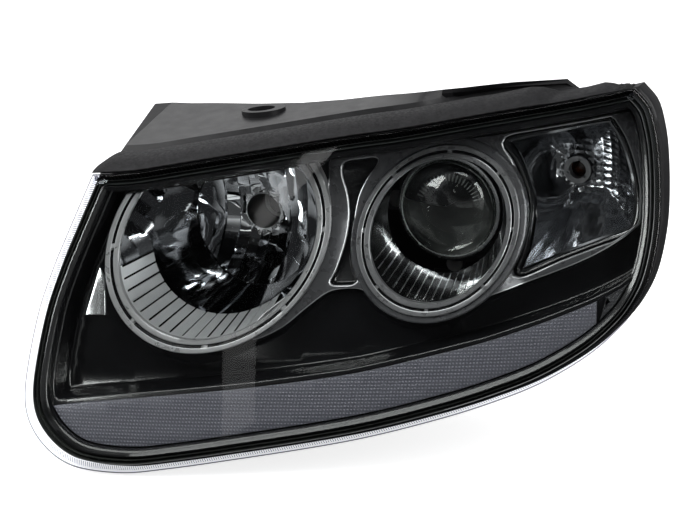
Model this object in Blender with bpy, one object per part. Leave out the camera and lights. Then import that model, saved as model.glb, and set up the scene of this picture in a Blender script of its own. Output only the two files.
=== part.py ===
"""Left-hand car headlight assembly, built as separate solids.

Every size below is in millimetres in the lamp's own layout: +X is outboard, -Y is the way the
lamp shines and +Z is up. place() moves the layout so that the middle of the whole lamp's box is
at the world origin, and scales it to metres.
"""
import math

import bmesh
import bpy
from mathutils import Vector

MM = 0.001
ORIGIN = (-5.46, 105.60, -13.91)      # middle of the lamp's box, in the layout

# Lens face: swept back outboard, raked back upwards.
LENS_START_X = -225.0
SWEEP_SLOPE = 0.15
SWEEP_CURVE = 0.0005
RAKE = 0.50
LENS_THICK = 3.5
LEG_OUTER, LEG_INNER, LEG_END = 3.8, 6.0, 25.0    # insets and depth of the lens's leg
LENS_CENTRE = (-5.0, -10.0)           # middle that the face's rings of points run round

# Lens outline, seen from the front (X, Z): the top edge, then clockwise round the rest.
TOP_EDGE = [(-185, 54), (-157, 56), (-123, 62), (-69, 71.5), (-16, 80.5), (20, 85.5),
            (70, 94), (132, 103.8), (167.5, 110.5)]
LOWER_EDGE = [(167.5, 110.5), (178.5, 99), (185, 84), (190, 65.5), (194.5, 38), (196.5, 12),
              (194.5, -15), (188.5, -33), (179, -47.5), (161.5, -64), (135, -80), (107, -91),
              (72, -101.5), (18, -114), (-62, -127), (-98, -132.5), (-126, -135.8),
              (-154, -134.5), (-172, -129.5), (-188, -119), (-200, -105), (-206, -88),
              (-207.4, -63), (-206, -33), (-201.5, -8), (-197, 10), (-185, 54)]
TOP_POINTS = 11
LOWER_POINTS = 37

# High beam optics, and the round trim in front of them.
HIGH_X, HIGH_Z = -96.5, 10.5
HIGH_RING_Y = 52.0
HIGH_RING_SLOPE = (0.41, 0.62)
HIGH_RING_R = 68.0
HIGH_CONE_Y = 84.5
HIGH_CONE_SLOPE = (0.25, 0.43)
HIGH_BULB_Y = 140.0
HIGH_BULB_R = 13.0
HIGH_SEAT_Y = 175.0
HIGH_BOWL_WALL = 1.9
HIGH_MOUTH_R = 62.4
HIGH_TUBE_R = 16.0                    # tube behind the bowl that takes the bulb

# Low beam projector, and the round trim in front of it.
LOW_RING_X, LOW_RING_Z = 48.5, 16.0
LOW_RING_Y = 108.0
LOW_RING_SLOPE = (0.25, 0.60)
LOW_RING_R = 50.8
LOW_X, LOW_Z = 45.2, 23.7
LOW_LENS_Y = 147.0                    # back face of the projector's lens
LOW_LENS_R = 35.0
LOW_LENS_BULGE = 22.0                 # how far its dome stands forward
LOW_SEAT_Y = 224.0
EAR_ANGLES = (0, 180, 270)            # screw ears round the projector
EARS = [(LOW_X + 45.0 * math.cos(math.radians(angle)),
         LOW_Z + 45.0 * math.sin(math.radians(angle))) for angle in EAR_ANGLES]
RING_HALF = 4.5                       # half the width of a ring's front face

# Turn signal.
TURN_X, TURN_Z = 122.0, 43.5
TURN_SOCKET_Y = 215.0
TURN_WINDOW = [(87.5, 75), (118, 81), (147, 86), (152, 83), (161, 70), (170, 49), (175, 29),
               (175, 17), (171, 11), (154, 5), (130, -4), (109, -13), (104, -11), (107, 1),
               (107.6, 24), (103.5, 41), (93, 61), (85, 71)]
WINDOW_SETBACK = 25.0

# Foam strip along the top edge: its height and depth, as shares of the full section.
STRIP_HEIGHT = [(-230, 1.0), (94, 1.0), (115, 0.4), (143, 0.38), (152, 0.2), (167, 0.12)]
STRIP_DEPTH = [(-230, 1.0), (143, 1.0), (154, 0.7), (167, 0.3)]
STRIP_SECTION = [(0.3, 0.0), (1.0, 2.6), (7.0, 6.6), (15.0, 9.2), (26.0, 10.6), (29.0, 9.6),
                 (29.0, 0.2), (14.0, 0.0)]
STRIP_LIFT = 0.9                      # its foot above the lens's edge

# Bezel: how far its floor lies behind the lens, and how far in its round openings stop.
BEZEL_FLOOR = 36.0
OPENING_INSET = 17.5

# Upper edge of the dotted strip under the optics, from its inboard end.
STRIP_TOP = [(-188.0, -98.5), (-164, -95), (-103, -88.5), (-53, -83), (8, -74.5), (52, -65),
             (92, -55.4), (127.5, -44), (156, -33), (173, -24.5), (182, -17.5)]
STRIP_INSET = 12.8                    # its foot, in from the lens's outline

# Aiming gear.
PIVOT = (-22.0, 170.0, 35.0)
SIDE_BALL_X = -148.0
LOWER_BALL_Z = -70.0
BALL_R = 5.0
CARRIER_FRONT, CARRIER_BACK = 161.0, 165.0

# Housing back wall: y = BACK_Y + BACK_SLOPE * x.
BACK_Y = 216.0
BACK_SLOPE = 0.22
BACK_SCALE = 0.86
WALL = 2.5
SHELL_MIN_DEPTH = 44.0                # from the lens's face to where the shell turns inward
PLATE_RISE = 13.0                     # top plate above the lens's top edge
PLATE_END_X = 132.0                   # outboard end of the top plate
PLATE_FADE = 10.0                     # length over which it comes down to the lens's rim
PLATE_LIFT = [(-230, 15), (-170, 14.6), (-150, 13.5), (-130, 11), (-108, 8.3), (-72, 5.3),
              (-40, 4.4), (40, 5.6), (80, 3.2), (120, 0.2), (150, -3.4), (230, -3.4)]
SHOULDER_START = -186.0               # inboard end of the plate's front edge
SHOULDER_RUN = 9.0
HIGH_NECK_END = 216.0
LOW_NECK_END = 250.0
TURN_NECK_END = 257.0
NECK_R, NECK_BORE = 38.0, 35.0
TURN_NECK_R, TURN_NECK_BORE = 22.0, 19.2

# Fixings, and what else is on the back (X, Z).
PAD_LEAN = -0.11                      # the top plate's rise outboard, as the pad's lean
UPPER_PAD = (-96.0, 141.0, 87.2)      # middle of the pad's upper face
PAD_R, PAD_HEIGHT, PAD_HOLE_R = 16.0, 5.5, 10.0
LUGS = [(-110.0, 118.0, -131.0), (108.0, 222.0, -91.0)]
LUG_R, LUG_HOLE_R = 10.0, 5.2
CONNECTOR = (28.0, -52.0)
BREATHERS = [(-150.0, -45.0), (150.0, 2.0)]

GAP = 0.4
FAR_FRONT, FAR_BACK = -70.0, 270.0    # ends of the tools that cut right through
WELD = 0.000002                       # points nearer than this, in metres, are one


def clear_scene():
    for old in list(bpy.data.objects):
        bpy.data.objects.remove(old, do_unlink=True)


def place(point):
    return Vector([(value - origin) * MM for value, origin in zip(point, ORIGIN)])


def make_material(name, colour, roughness, metallic=0.0, transmission=0.0):
    material = bpy.data.materials.new(name)
    material.use_nodes = True
    shader = material.node_tree.nodes["Principled BSDF"]
    shader.inputs["Base Color"].default_value = (*colour, 1.0)
    shader.inputs["Roughness"].default_value = roughness
    shader.inputs["Metallic"].default_value = metallic
    shader.inputs["Transmission Weight"].default_value = transmission
    return material


def add_body(name, points, faces, material):
    """One closed mesh from points in the layout, faces turned outward."""
    mesh = bpy.data.meshes.new(name)
    mesh.from_pydata([place(point) for point in points], [], faces)
    build = bmesh.new()
    build.from_mesh(mesh)
    bmesh.ops.recalc_face_normals(build, faces=build.faces)
    build.to_mesh(mesh)
    build.free()
    body = bpy.data.objects.new(name, mesh)
    bpy.context.scene.collection.objects.link(body)
    mesh.shade_smooth()
    mesh.set_sharp_from_angle(angle=math.radians(35))
    if material is not None:
        mesh.materials.append(material)
    return body


def combine(target, tool, operation):
    """Boolean one body with another, keep the result and drop the tool."""
    step = target.modifiers.new("combine", "BOOLEAN")
    step.operation = operation
    step.solver = "EXACT"
    step.object = tool
    bpy.context.view_layer.update()
    evaluated = target.evaluated_get(bpy.context.evaluated_depsgraph_get())
    mesh = bpy.data.meshes.new_from_object(evaluated)
    tidy = bmesh.new()
    tidy.from_mesh(mesh)
    bmesh.ops.remove_doubles(tidy, verts=tidy.verts, dist=WELD)
    bmesh.ops.dissolve_degenerate(tidy, edges=tidy.edges, dist=WELD)
    tidy.to_mesh(mesh)
    tidy.free()
    target.modifiers.clear()
    target.data = mesh
    bpy.data.objects.remove(tool, do_unlink=True)


def join(target, *tools):
    for tool in tools:
        combine(target, tool, "UNION")


def cut(target, *tools):
    for tool in tools:
        combine(target, tool, "DIFFERENCE")


def set_origin(body, point):
    """Move a body's origin onto its joint's axis and leave its shape where it is."""
    shift = place(point)
    for vertex in body.data.vertices:
        vertex.co -= shift
    body.location = shift


# ---- curves and loops of points -----------------------------------------------------------

def spline(p0, p1, p2, p3, t):
    """Point at t on the Catmull-Rom span from p1 to p2."""
    return 0.5 * (2 * p1 + (p2 - p0) * t + (2 * p0 - 5 * p1 + 4 * p2 - p3) * t * t
                  + (3 * p1 - p0 - 3 * p2 + p3) * t ** 3)


def smooth_run(points, count):
    """Evenly spaced points on a Catmull-Rom curve through an open run of points."""
    knots = [Vector(point) for point in (points[0], *points, points[-1])]
    dense = [spline(*knots[index:index + 4], step / 12)
             for index in range(len(points) - 1) for step in range(12)]
    return even_run(dense + [knots[-1]], count)


def even_run(dense, count):
    lengths = [0.0]
    for first, second in zip(dense, dense[1:]):
        lengths.append(lengths[-1] + (second - first).length)
    run = []
    at = 0
    for index in range(count):
        goal = lengths[-1] * index / (count - 1)
        while at < len(dense) - 2 and lengths[at + 1] < goal:
            at += 1
        part = (goal - lengths[at]) / max(lengths[at + 1] - lengths[at], 1e-9)
        run.append(tuple(dense[at].lerp(dense[at + 1], part)))
    return run


def closed_curve(points, count):
    """Evenly spaced points on a closed Catmull-Rom curve."""
    knots = [Vector(point) for point in (points[-1], *points, points[0], points[1])]
    dense = [spline(*knots[index:index + 4], step / 12)
             for index in range(len(points)) for step in range(12)]
    return even_run(dense + [knots[1]], count + 1)[:-1]


def lens_outline():
    top = smooth_run(TOP_EDGE, TOP_POINTS)
    lower = smooth_run(LOWER_EDGE, LOWER_POINTS)
    return top[:-1] + lower[:-1]


def inward_normals(loop):
    normals = []
    for index in range(len(loop)):
        before = Vector(loop[index - 1])
        after = Vector(loop[(index + 1) % len(loop)])
        along = (after - before).normalized()
        normals.append(Vector((along.y, -along.x)))
    return normals


def inset(loop, distance):
    """The loop moved inward by one distance, or by one for each point."""
    if not isinstance(distance, list):
        distance = [distance] * len(loop)
    return [tuple(Vector(point) + normal * step)
            for point, normal, step in zip(loop, inward_normals(loop), distance)]


def scaled(loop, factor, centre=LENS_CENTRE):
    return [(centre[0] + (x - centre[0]) * factor, centre[1] + (z - centre[1]) * factor)
            for x, z in loop]


def circle(x, z, radius, count):
    return [(x + radius * math.cos(2 * math.pi * k / count),
             z + radius * math.sin(2 * math.pi * k / count)) for k in range(count)]


def between(pairs, x):
    """Value at x, from (x, value) pairs in order."""
    for (x1, value1), (x2, value2) in zip(pairs, pairs[1:]):
        if x <= x2:
            return value1 + (value2 - value1) * (x - x1) / (x2 - x1)
    return pairs[-1][1]


def lens_depth(x, z):
    """Y of the lens's outer face."""
    run = x - LENS_START_X
    return SWEEP_SLOPE * run + SWEEP_CURVE * run * run + RAKE * z


def behind_lens(setback):
    return lambda x, z: lens_depth(x, z) + setback


def flat(y):
    return lambda x, z: y


def tilted(x, z, y, slope):
    """A plane through (x, y, z) that falls back by slope along X and Z."""
    return lambda px, pz: y + slope[0] * (px - x) + slope[1] * (pz - z)


def lifted(loop, depth):
    """An (X, Z) loop set at the depth that a function gives."""
    return [(x, depth(x, z), z) for x, z in loop]


def loft(name, loops, material, ring=False):
    """Skin loops of equal length, as a ring, or capped with a fan at each end."""
    count = len(loops[0])
    points = [point for loop in loops for point in loop]
    faces = []
    pairs = len(loops) if ring else len(loops) - 1
    for level in range(pairs):
        low = level * count
        high = ((level + 1) % len(loops)) * count
        for k in range(count):
            after = (k + 1) % count
            faces.append((low + k, low + after, high + after, high + k))
    if not ring:
        for start in (0, (len(loops) - 1) * count):
            middle = [sum(points[start + k][axis] for k in range(count)) / count
                      for axis in range(3)]
            points.append(tuple(middle))
            hub = len(points) - 1
            faces.extend((start + k, start + (k + 1) % count, hub) for k in range(count))
    return add_body(name, points, faces, material)


def turned(name, x, z, profile, count, material, ring=True):
    """A round piece about an axis along Y, from (radius, depth function) pairs."""
    loops = [lifted(circle(x, z, radius, count), depth) for radius, depth in profile]
    return loft(name, loops, material, ring)


def tube(name, x, z, outer, inner, front, back, count, material=None):
    profile = [(outer, flat(front)), (outer, flat(back)), (inner, flat(back)),
               (inner, flat(front))]
    return turned(name, x, z, profile, count, material)


def rod(name, x, z, radius, front, back, count=14, material=None):
    profile = [(radius, flat(front)), (radius, flat(back))]
    return turned(name, x, z, profile, count, material, ring=False)


def plate(name, outline, front, back, material=None):
    """A flat or lens-following plate from an (X, Z) outline and two depth functions."""
    return loft(name, [lifted(outline, front), lifted(outline, back)], material)


def block(name, x_range, y_range, z_range, material=None):
    points = [(x, y, z) for x in x_range for y in y_range for z in z_range]
    faces = [(0, 1, 3, 2), (4, 6, 7, 5), (0, 4, 5, 1), (2, 3, 7, 6), (0, 2, 6, 4),
             (1, 5, 7, 3)]
    return add_body(name, points, faces, material)


def post(name, x, y, radius, z_range, count=14, lean=0.0):
    """An upright rod; lean is how far its axis moves in X for each step in Z."""
    loops = []
    for z in z_range:
        loops.append([(x + lean * (z - z_range[0]) + radius * math.cos(2 * math.pi * k / count),
                       y + radius * math.sin(2 * math.pi * k / count),
                       z - lean * radius * math.cos(2 * math.pi * k / count))
                      for k in range(count)])
    return loft(name, loops, None)


def ball_profile(radius, y, neck):
    """Half-circle profile of a ball on the Y axis that runs into a rod of radius neck."""
    stop = math.pi - math.asin(neck / radius)
    steps = 5
    return [(max(radius * math.sin(stop * (k + 0.5) / (steps + 0.5)), 0.3),
             flat(y - radius * math.cos(stop * (k + 0.5) / (steps + 0.5))))
            for k in range(steps + 1)]


# ---- front: lens, seal, bezel and trim ----------------------------------------------------

def build_outer_lens(outline, material):
    """Clear cover with a rim that overhangs the leg bonded into the housing."""
    leg_outer = inset(outline, LEG_OUTER)
    leg_inner = inset(outline, LEG_INNER)
    steps = (0.25, 0.5, 0.78)
    loops = [lifted(scaled(outline, step), behind_lens(0)) for step in steps]
    loops.append(lifted(outline, behind_lens(0)))
    loops.append(lifted(outline, behind_lens(LENS_THICK)))
    loops.append(lifted(leg_outer, behind_lens(LENS_THICK)))
    loops.append(lifted(leg_outer, behind_lens(LEG_END)))
    loops.append(lifted(leg_inner, behind_lens(LEG_END)))
    loops.append(lifted(leg_inner, behind_lens(LENS_THICK)))
    loops.extend(lifted(scaled(outline, step), behind_lens(LENS_THICK))
                 for step in reversed(steps))
    return loft("outer_lens", loops, material)


def build_lens_seal(outline, material):
    """Bead of sealant under the lens's leg, in the housing's channel."""
    loops = [lifted(inset(outline, side), behind_lens(setback))
             for side, setback in ((3.7, 25.3), (3.7, 27.5), (6.5, 27.5), (6.5, 25.3))]
    return loft("lens_seal", loops, material, ring=True)


def build_weatherstrip(material):
    """Foam strip along the top edge, from the inboard corner to the outboard one."""
    edge = smooth_run(TOP_EDGE, 30)[:-1]
    loops = []
    for x, z in edge:
        y = lens_depth(x, z)
        high, deep = between(STRIP_HEIGHT, x), between(STRIP_DEPTH, x)
        loops.append([(x, y + back * deep, z + STRIP_LIFT + rise * high)
                      for back, rise in STRIP_SECTION])
    return loft("top_weatherstrip", loops, material)


def cove_edge(outline):
    """Where the bezel steps back: near the rim, but above the dotted strip at the bottom."""
    shelf = [(-212, -94)] + [(x, z + 3) for x, z in STRIP_TOP] + [(204, 8)]
    ring = []
    for point in inset(outline, 14.0):
        ray = Vector(point) - Vector(LENS_CENTRE)
        reach = 1.0
        for first, second in zip(shelf, shelf[1:]):
            side = Vector(second) - Vector(first)
            start = Vector(first) - Vector(LENS_CENTRE)
            crossing = ray.x * side.y - ray.y * side.x
            if abs(crossing) < 1e-9:
                continue
            along = (start.x * side.y - start.y * side.x) / crossing
            part = (start.x * ray.y - start.y * ray.x) / crossing
            if 0 < along < reach and 0 <= part <= 1:
                reach = along
        ring.append(tuple(Vector(LENS_CENTRE) + ray * reach))
    return ring


def build_bezel(outline, material):
    """Black tray behind the lens, with openings for both beams and the turn signal."""
    edge = cove_edge(outline)
    floor = inset(edge, 2.0)
    steps = (0.7, 0.35)
    front, back = behind_lens(BEZEL_FLOOR), behind_lens(BEZEL_FLOOR + 2.5)
    loops = [lifted(scaled(floor, step), front) for step in reversed(steps)]
    loops.append(lifted(floor, front))
    loops.append(lifted(edge, behind_lens(14.2)))
    loops.append(lifted(inset(outline, 10.8), behind_lens(14.2)))
    loops.append(lifted(inset(outline, 10.2), behind_lens(7)))
    loops.append(lifted(inset(outline, 8.6), behind_lens(5)))
    loops.append(lifted(inset(outline, 7.0), behind_lens(5.5)))
    loops.append(lifted(inset(outline, 7.4), behind_lens(16.8)))
    loops.append(lifted(inset(edge, -2.2), behind_lens(16.8)))
    loops.append(lifted(inset(floor, -2.2), back))
    loops.extend(lifted(scaled(floor, step), back) for step in steps)
    bezel = loft("bezel", loops, material)
    window = closed_curve(TURN_WINDOW, 32)
    frame_outline = inset(window, -8.0)
    frame = plate("turn_frame", frame_outline, behind_lens(WINDOW_SETBACK),
                  behind_lens(BEZEL_FLOOR + 1.5))
    cut(frame, rod("ring_clear", LOW_RING_X, LOW_RING_Z, LOW_RING_R + RING_HALF + 0.6,
                   FAR_FRONT, FAR_BACK, 36))
    join(bezel, frame)
    high = rod("high_opening", HIGH_X, HIGH_Z, HIGH_RING_R + 2.0, FAR_FRONT, FAR_BACK, 36)
    combine(high, clip_prism(outline), "INTERSECT")
    cut(bezel, high,
        rod("low_opening", LOW_RING_X, LOW_RING_Z, LOW_RING_R + 1.7, FAR_FRONT, FAR_BACK, 36),
        plate("turn_opening", window, flat(FAR_FRONT), flat(FAR_BACK)))
    return bezel


def clip_prism(outline, extra=0.0):
    """Everything inside the bezel's cove, to trim the round pieces and openings with."""
    return plate("clip", inset(outline, OPENING_INSET + extra), flat(FAR_FRONT), flat(FAR_BACK))


def trim_ring(name, x, z, y, slope, radius):
    """A ring's front face with its groove, and the tube that runs back to the bezel."""
    front = tilted(x, z, y, slope)
    lower = tilted(x, z, y + 1.6, slope)
    under = tilted(x, z, y + 3.0, slope)
    inner, outer = radius - RING_HALF, radius + RING_HALF
    profile = [(inner, front), (radius - 1.0, front), (radius - 1.0, lower),
               (radius + 1.0, lower), (radius + 1.0, front), (outer, front),
               (outer, behind_lens(BEZEL_FLOOR - 0.8)), (outer - 2.5, behind_lens(BEZEL_FLOOR - 0.8)),
               (outer - 2.5, under), (inner, under)]
    return turned(name, x, z, profile, 36, None)


def build_ring_trim(outline, material):
    """Both trim rings and the web that joins them, as one moulding."""
    trim = trim_ring("ring_trim", HIGH_X, HIGH_Z, HIGH_RING_Y, HIGH_RING_SLOPE, HIGH_RING_R)
    low = trim_ring("low_ring", LOW_RING_X, LOW_RING_Z, LOW_RING_Y, LOW_RING_SLOPE, LOW_RING_R)
    join(trim, low)
    for top, foot in ((58, 50), (-14, -26)):
        web = [(-46, top - 14), (-46, foot - 8), (12, foot), (12, top)]
        bridge = plate("web", web, web_depth(0.0), web_depth(3.0))
        cut(bridge,
            rod("high_clear", HIGH_X, HIGH_Z, HIGH_RING_R + 2.2, FAR_FRONT, FAR_BACK, 36),
            rod("low_clear", LOW_RING_X, LOW_RING_Z, LOW_RING_R + 2.2, FAR_FRONT, FAR_BACK, 36))
        join(trim, bridge)
    combine(trim, clip_prism(outline, 0.6), "INTERSECT")
    trim.data.materials.clear()
    trim.data.materials.append(material)
    return trim


def web_depth(extra):
    """Depth of the web between the rings: from the high ring's plane to the low ring's."""
    high = tilted(HIGH_X, HIGH_Z, HIGH_RING_Y + 4.0 + extra, HIGH_RING_SLOPE)
    low = tilted(LOW_RING_X, LOW_RING_Z, LOW_RING_Y + 4.0 + extra, LOW_RING_SLOPE)

    def depth(x, z):
        part = min(max((x + 30.0) / 40.0, 0.0), 1.0)
        return min(high(x, z) * (1 - part) + low(x, z) * part,
                   lens_depth(x, z) + BEZEL_FLOOR - 5.0 + extra)

    return depth


def build_high_cone(outline, material):
    """Conical liner from the high ring down to the reflector's mouth."""
    start = tilted(HIGH_X, HIGH_Z, HIGH_RING_Y + 3.4, HIGH_RING_SLOPE)
    start_low = tilted(HIGH_X, HIGH_Z, HIGH_RING_Y + 5.0, HIGH_RING_SLOPE)
    stop = tilted(HIGH_X, HIGH_Z, HIGH_CONE_Y - 1.5, HIGH_CONE_SLOPE)
    profile = [(64.0, start), (69.0, start), (69.0, start_low), (65.6, start_low),
               (58.5, stop), (57.0, stop)]
    cone = turned("high_beam_cone", HIGH_X, HIGH_Z, profile, 36, material)
    combine(cone, clip_prism(outline, 0.6), "INTERSECT")
    return cone


def build_low_cone(material):
    """Conical liner from the low ring down to the projector."""
    start = tilted(LOW_RING_X, LOW_RING_Z, LOW_RING_Y + 3.4, LOW_RING_SLOPE)
    start_low = tilted(LOW_RING_X, LOW_RING_Z, LOW_RING_Y + 5.0, LOW_RING_SLOPE)
    stop_x, stop_z = LOW_X + 0.4, LOW_Z - 1.0
    stop = tilted(stop_x, stop_z, LOW_RING_Y + 26.0, (0.10, 0.20))
    loops = [lifted(circle(LOW_RING_X, LOW_RING_Z, 46.6, 36), start),
             lifted(circle(LOW_RING_X, LOW_RING_Z, 52.0, 36), start),
             lifted(circle(LOW_RING_X, LOW_RING_Z, 52.0, 36), start_low),
             lifted(circle(LOW_RING_X, LOW_RING_Z, 48.2, 36), start_low),
             lifted(circle(stop_x, stop_z, 43.4, 36), stop),
             lifted(circle(stop_x, stop_z, 42.0, 36), stop)]
    return loft("low_beam_cone", loops, material, ring=True)


def strip_line(x):
    """Z of the dotted strip's upper edge at x, or far below it past its ends."""
    for (x1, z1), (x2, z2) in zip(STRIP_TOP, STRIP_TOP[1:]):
        if x1 <= x <= x2:
            return z1 + (z2 - z1) * (x - x1) / (x2 - x1)
    return -1000.0


def build_lower_strip(material):
    """Dotted insert that lies on the bezel's shelf."""
    upper = smooth_run(STRIP_TOP, 28)
    rim = inset(smooth_run(LOWER_EDGE, 160), STRIP_INSET)[::-1]
    below = [Vector(point) for point in rim if strip_line(point[0]) - point[1] > 0.6]
    foot = even_run(below, 28)
    outline = upper + foot[::-1]
    front = lifted(outline, behind_lens(11.5))
    back = lifted(outline, behind_lens(13.7))
    count = len(upper)
    total = len(outline)
    points = front + back
    faces = []
    for k in range(count - 1):
        other = total - 1 - k
        faces.append((k, k + 1, other - 1, other))
        faces.append((total + k, total + k + 1, total + other - 1, total + other))
    faces.extend((k, (k + 1) % total, total + (k + 1) % total, total + k)
                 for k in range(total))
    return add_body("lower_strip", points, faces, material)


# ---- optics -------------------------------------------------------------------------------

def build_high_reflector(material):
    """Deep bowl on the carrier, with a tube for the bulb at its back."""
    mouth = tilted(HIGH_X, HIGH_Z, HIGH_CONE_Y + 3.0, HIGH_CONE_SLOPE)
    mouth_r = HIGH_MOUTH_R
    inner = []
    outer = []
    steps = 4
    for k in range(steps + 1):
        part = k / steps
        radius = mouth_r + (HIGH_BULB_R - mouth_r) * part
        curve = (mouth_r ** 2 - radius ** 2) / (mouth_r ** 2 - HIGH_BULB_R ** 2)
        inner.append((radius, blend(mouth, flat(HIGH_BULB_Y), curve)))
        outer.append((radius + HIGH_BOWL_WALL, blend(mouth, flat(HIGH_BULB_Y + 2.0), curve)))
    flange = CARRIER_FRONT - 0.4
    profile = inner + [(HIGH_BULB_R, flat(HIGH_SEAT_Y)), (HIGH_TUBE_R, flat(HIGH_SEAT_Y)),
                       (HIGH_TUBE_R, flat(flange)), (31.0, flat(flange)),
                       (31.0, flat(flange - 2.6)), (HIGH_TUBE_R, flat(flange - 2.6))]
    profile += outer[::-1][:-1] + [(mouth_r + HIGH_BOWL_WALL, mouth)]
    return turned("high_beam_reflector", HIGH_X, HIGH_Z, profile, 30, material)


def blend(first, second, part):
    return lambda x, z: first(x, z) * (1 - part) + second(x, z) * part


def build_bulb_seat(name, x, z, front, hole_r, material):
    """Metal seat that takes a bulb's flange, with three small lugs for its clip."""
    seat = tube(name, x, z, 21.0, hole_r, front, front + 2.0, 20, material)
    for angle in (90, 210, 330):
        px = x + 18.0 * math.cos(math.radians(angle))
        pz = z + 18.0 * math.sin(math.radians(angle))
        join(seat, rod("lug", px, pz, 2.2, front + 1.0, front + 5.0, 8))
    return seat


def build_projector(materials):
    """Ellipsoid reflector, lens barrel, cut-off shield, lens and its retaining ring."""
    bodies = []
    flange = CARRIER_FRONT - 0.4
    depths = [(38.5, flange + 1.0), (37.0, flange + 14), (31.5, flange + 32),
              (20.0, flange + 47), (13.5, flange + 52), (13.5, LOW_SEAT_Y)]
    inner = [(radius - 1.8, flat(y)) for radius, y in depths]
    outer = [(radius, flat(y)) for radius, y in depths]
    profile = [(42.0, flat(flange - 3.0)), (42.0, flat(flange)), (38.6, flat(flange))]
    profile += outer + inner[::-1] + [(36.7, flat(flange - 3.0))]
    shell = turned("projector_reflector", LOW_X, LOW_Z, profile, 28, materials["metal_shell"])
    join(shell, *[rod("ear", x, z, 6.0, flange - 2.8, flange - 0.2, 16) for x, z in EARS])
    bodies.append(shell)
    end = LOW_LENS_Y
    barrel = [(38.4, flat(end - 1.6)), (38.4, flat(flange - 5.8)), (42.0, flat(flange - 5.8)),
              (42.0, flat(flange - 3.4)), (36.0, flat(flange - 3.4)), (36.0, flat(end + 0.9)),
              (33.4, flat(end + 0.9)), (33.4, flat(end + 0.3)), (36.8, flat(end + 0.3)),
              (36.8, flat(end - 1.6))]
    bodies.append(turned("projector_barrel", LOW_X, LOW_Z, barrel, 28,
                         materials["dark_metal"]))
    dome = [(max(LOW_LENS_R * math.sin(k * math.pi / 14), 1.0),
             flat(end - 1.4 - LOW_LENS_BULGE * math.cos(k * math.pi / 14))) for k in range(8)]
    dome += [(36.2, flat(end - 1.3)), (36.2, flat(end))]
    bodies.append(turned("projector_lens", LOW_X, LOW_Z, dome, 28, materials["clear_glass"],
                         ring=False))
    bodies.append(tube("projector_lens_ring", LOW_X, LOW_Z, 38.4, 35.4, end - 3.4, end - 1.9,
                       28, materials["satin_metal"]))
    shield = half_disc("cutoff_shield", LOW_X, LOW_Z, 34.8, flange - 2.0, flange - 1.0,
                       materials["dark_metal"])
    bodies.append(shield)
    return bodies


def half_disc(name, x, z, radius, front, back, material):
    """Plate below the beam's middle, with a step in its top edge for the cut-off."""
    rim = [(x + radius * math.cos(math.radians(a)), z + radius * math.sin(math.radians(a)))
           for a in range(180, 361, 12)]
    outline = rim + [(x + 6, z + 0.5), (x, z + 0.5), (x - 6, z - 3.0)]
    return plate(name, outline, flat(front), flat(back), material)


def build_turn_reflector(material):
    """Bowl set in the bezel's window, wider behind it inboard, with the bulb hole at its back."""
    mouth = inset(closed_curve(TURN_WINDOW, 32), 3.6)
    hole_r = 8.8
    inner = []
    outer = []
    for part in (0.0, 0.1, 0.3, 0.6, 0.85, 1.0):
        sunk = 1 - (1 - part) ** 2.2
        flare = 11.0 * math.sin(math.pi * part) if part > 0.2 else 0.0
        inner_loop = []
        outer_loop = []
        for x, z in mouth:
            reach = math.dist((x, z), (TURN_X, TURN_Z))
            radius = reach * (1 - part) + hole_r * part
            along = ((x - TURN_X) / reach, (z - TURN_Z) / reach)
            radius += flare * max(-along[0], 0.0)
            y = (lens_depth(x, z) + WINDOW_SETBACK + 3.0) * (1 - sunk) + TURN_SOCKET_Y * sunk
            inner_loop.append((TURN_X + along[0] * radius, y, TURN_Z + along[1] * radius))
            radius += 2.2
            outer_loop.append((TURN_X + along[0] * radius, y + 2.0 * sunk,
                               TURN_Z + along[1] * radius))
        inner.append(inner_loop)
        outer.append(outer_loop)
    neck_end = TURN_SOCKET_Y + 18.0
    neck_inner = [(x, neck_end, z) for x, y, z in inner[-1]]
    neck_outer = [(x, neck_end, z) for x, y, z in outer[-1]]
    loops = inner + [neck_inner, neck_outer] + outer[::-1]
    return loft("turn_reflector", loops, material, ring=True)


def build_turn_socket_ring(material):
    """Grey collar round the turn signal's bulb hole, with three bayonet notches."""
    front = TURN_SOCKET_Y - 5.6
    ring = tube("turn_socket_ring", TURN_X, TURN_Z, 10.2, 6.6, front, front + 2.4, 20, material)
    for angle in (80, 200, 320):
        px = TURN_X + 7.2 * math.cos(math.radians(angle))
        pz = TURN_Z + 7.2 * math.sin(math.radians(angle))
        cut(ring, rod("notch", px, pz, 1.3, front - 1, front + 4, 5))
    join(ring, tube("socket_sleeve", TURN_X, TURN_Z, 7.6, 6.7, front + 2.0, front + 9.0, 20))
    return ring


# ---- carrier and aiming gear --------------------------------------------------------------

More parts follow.
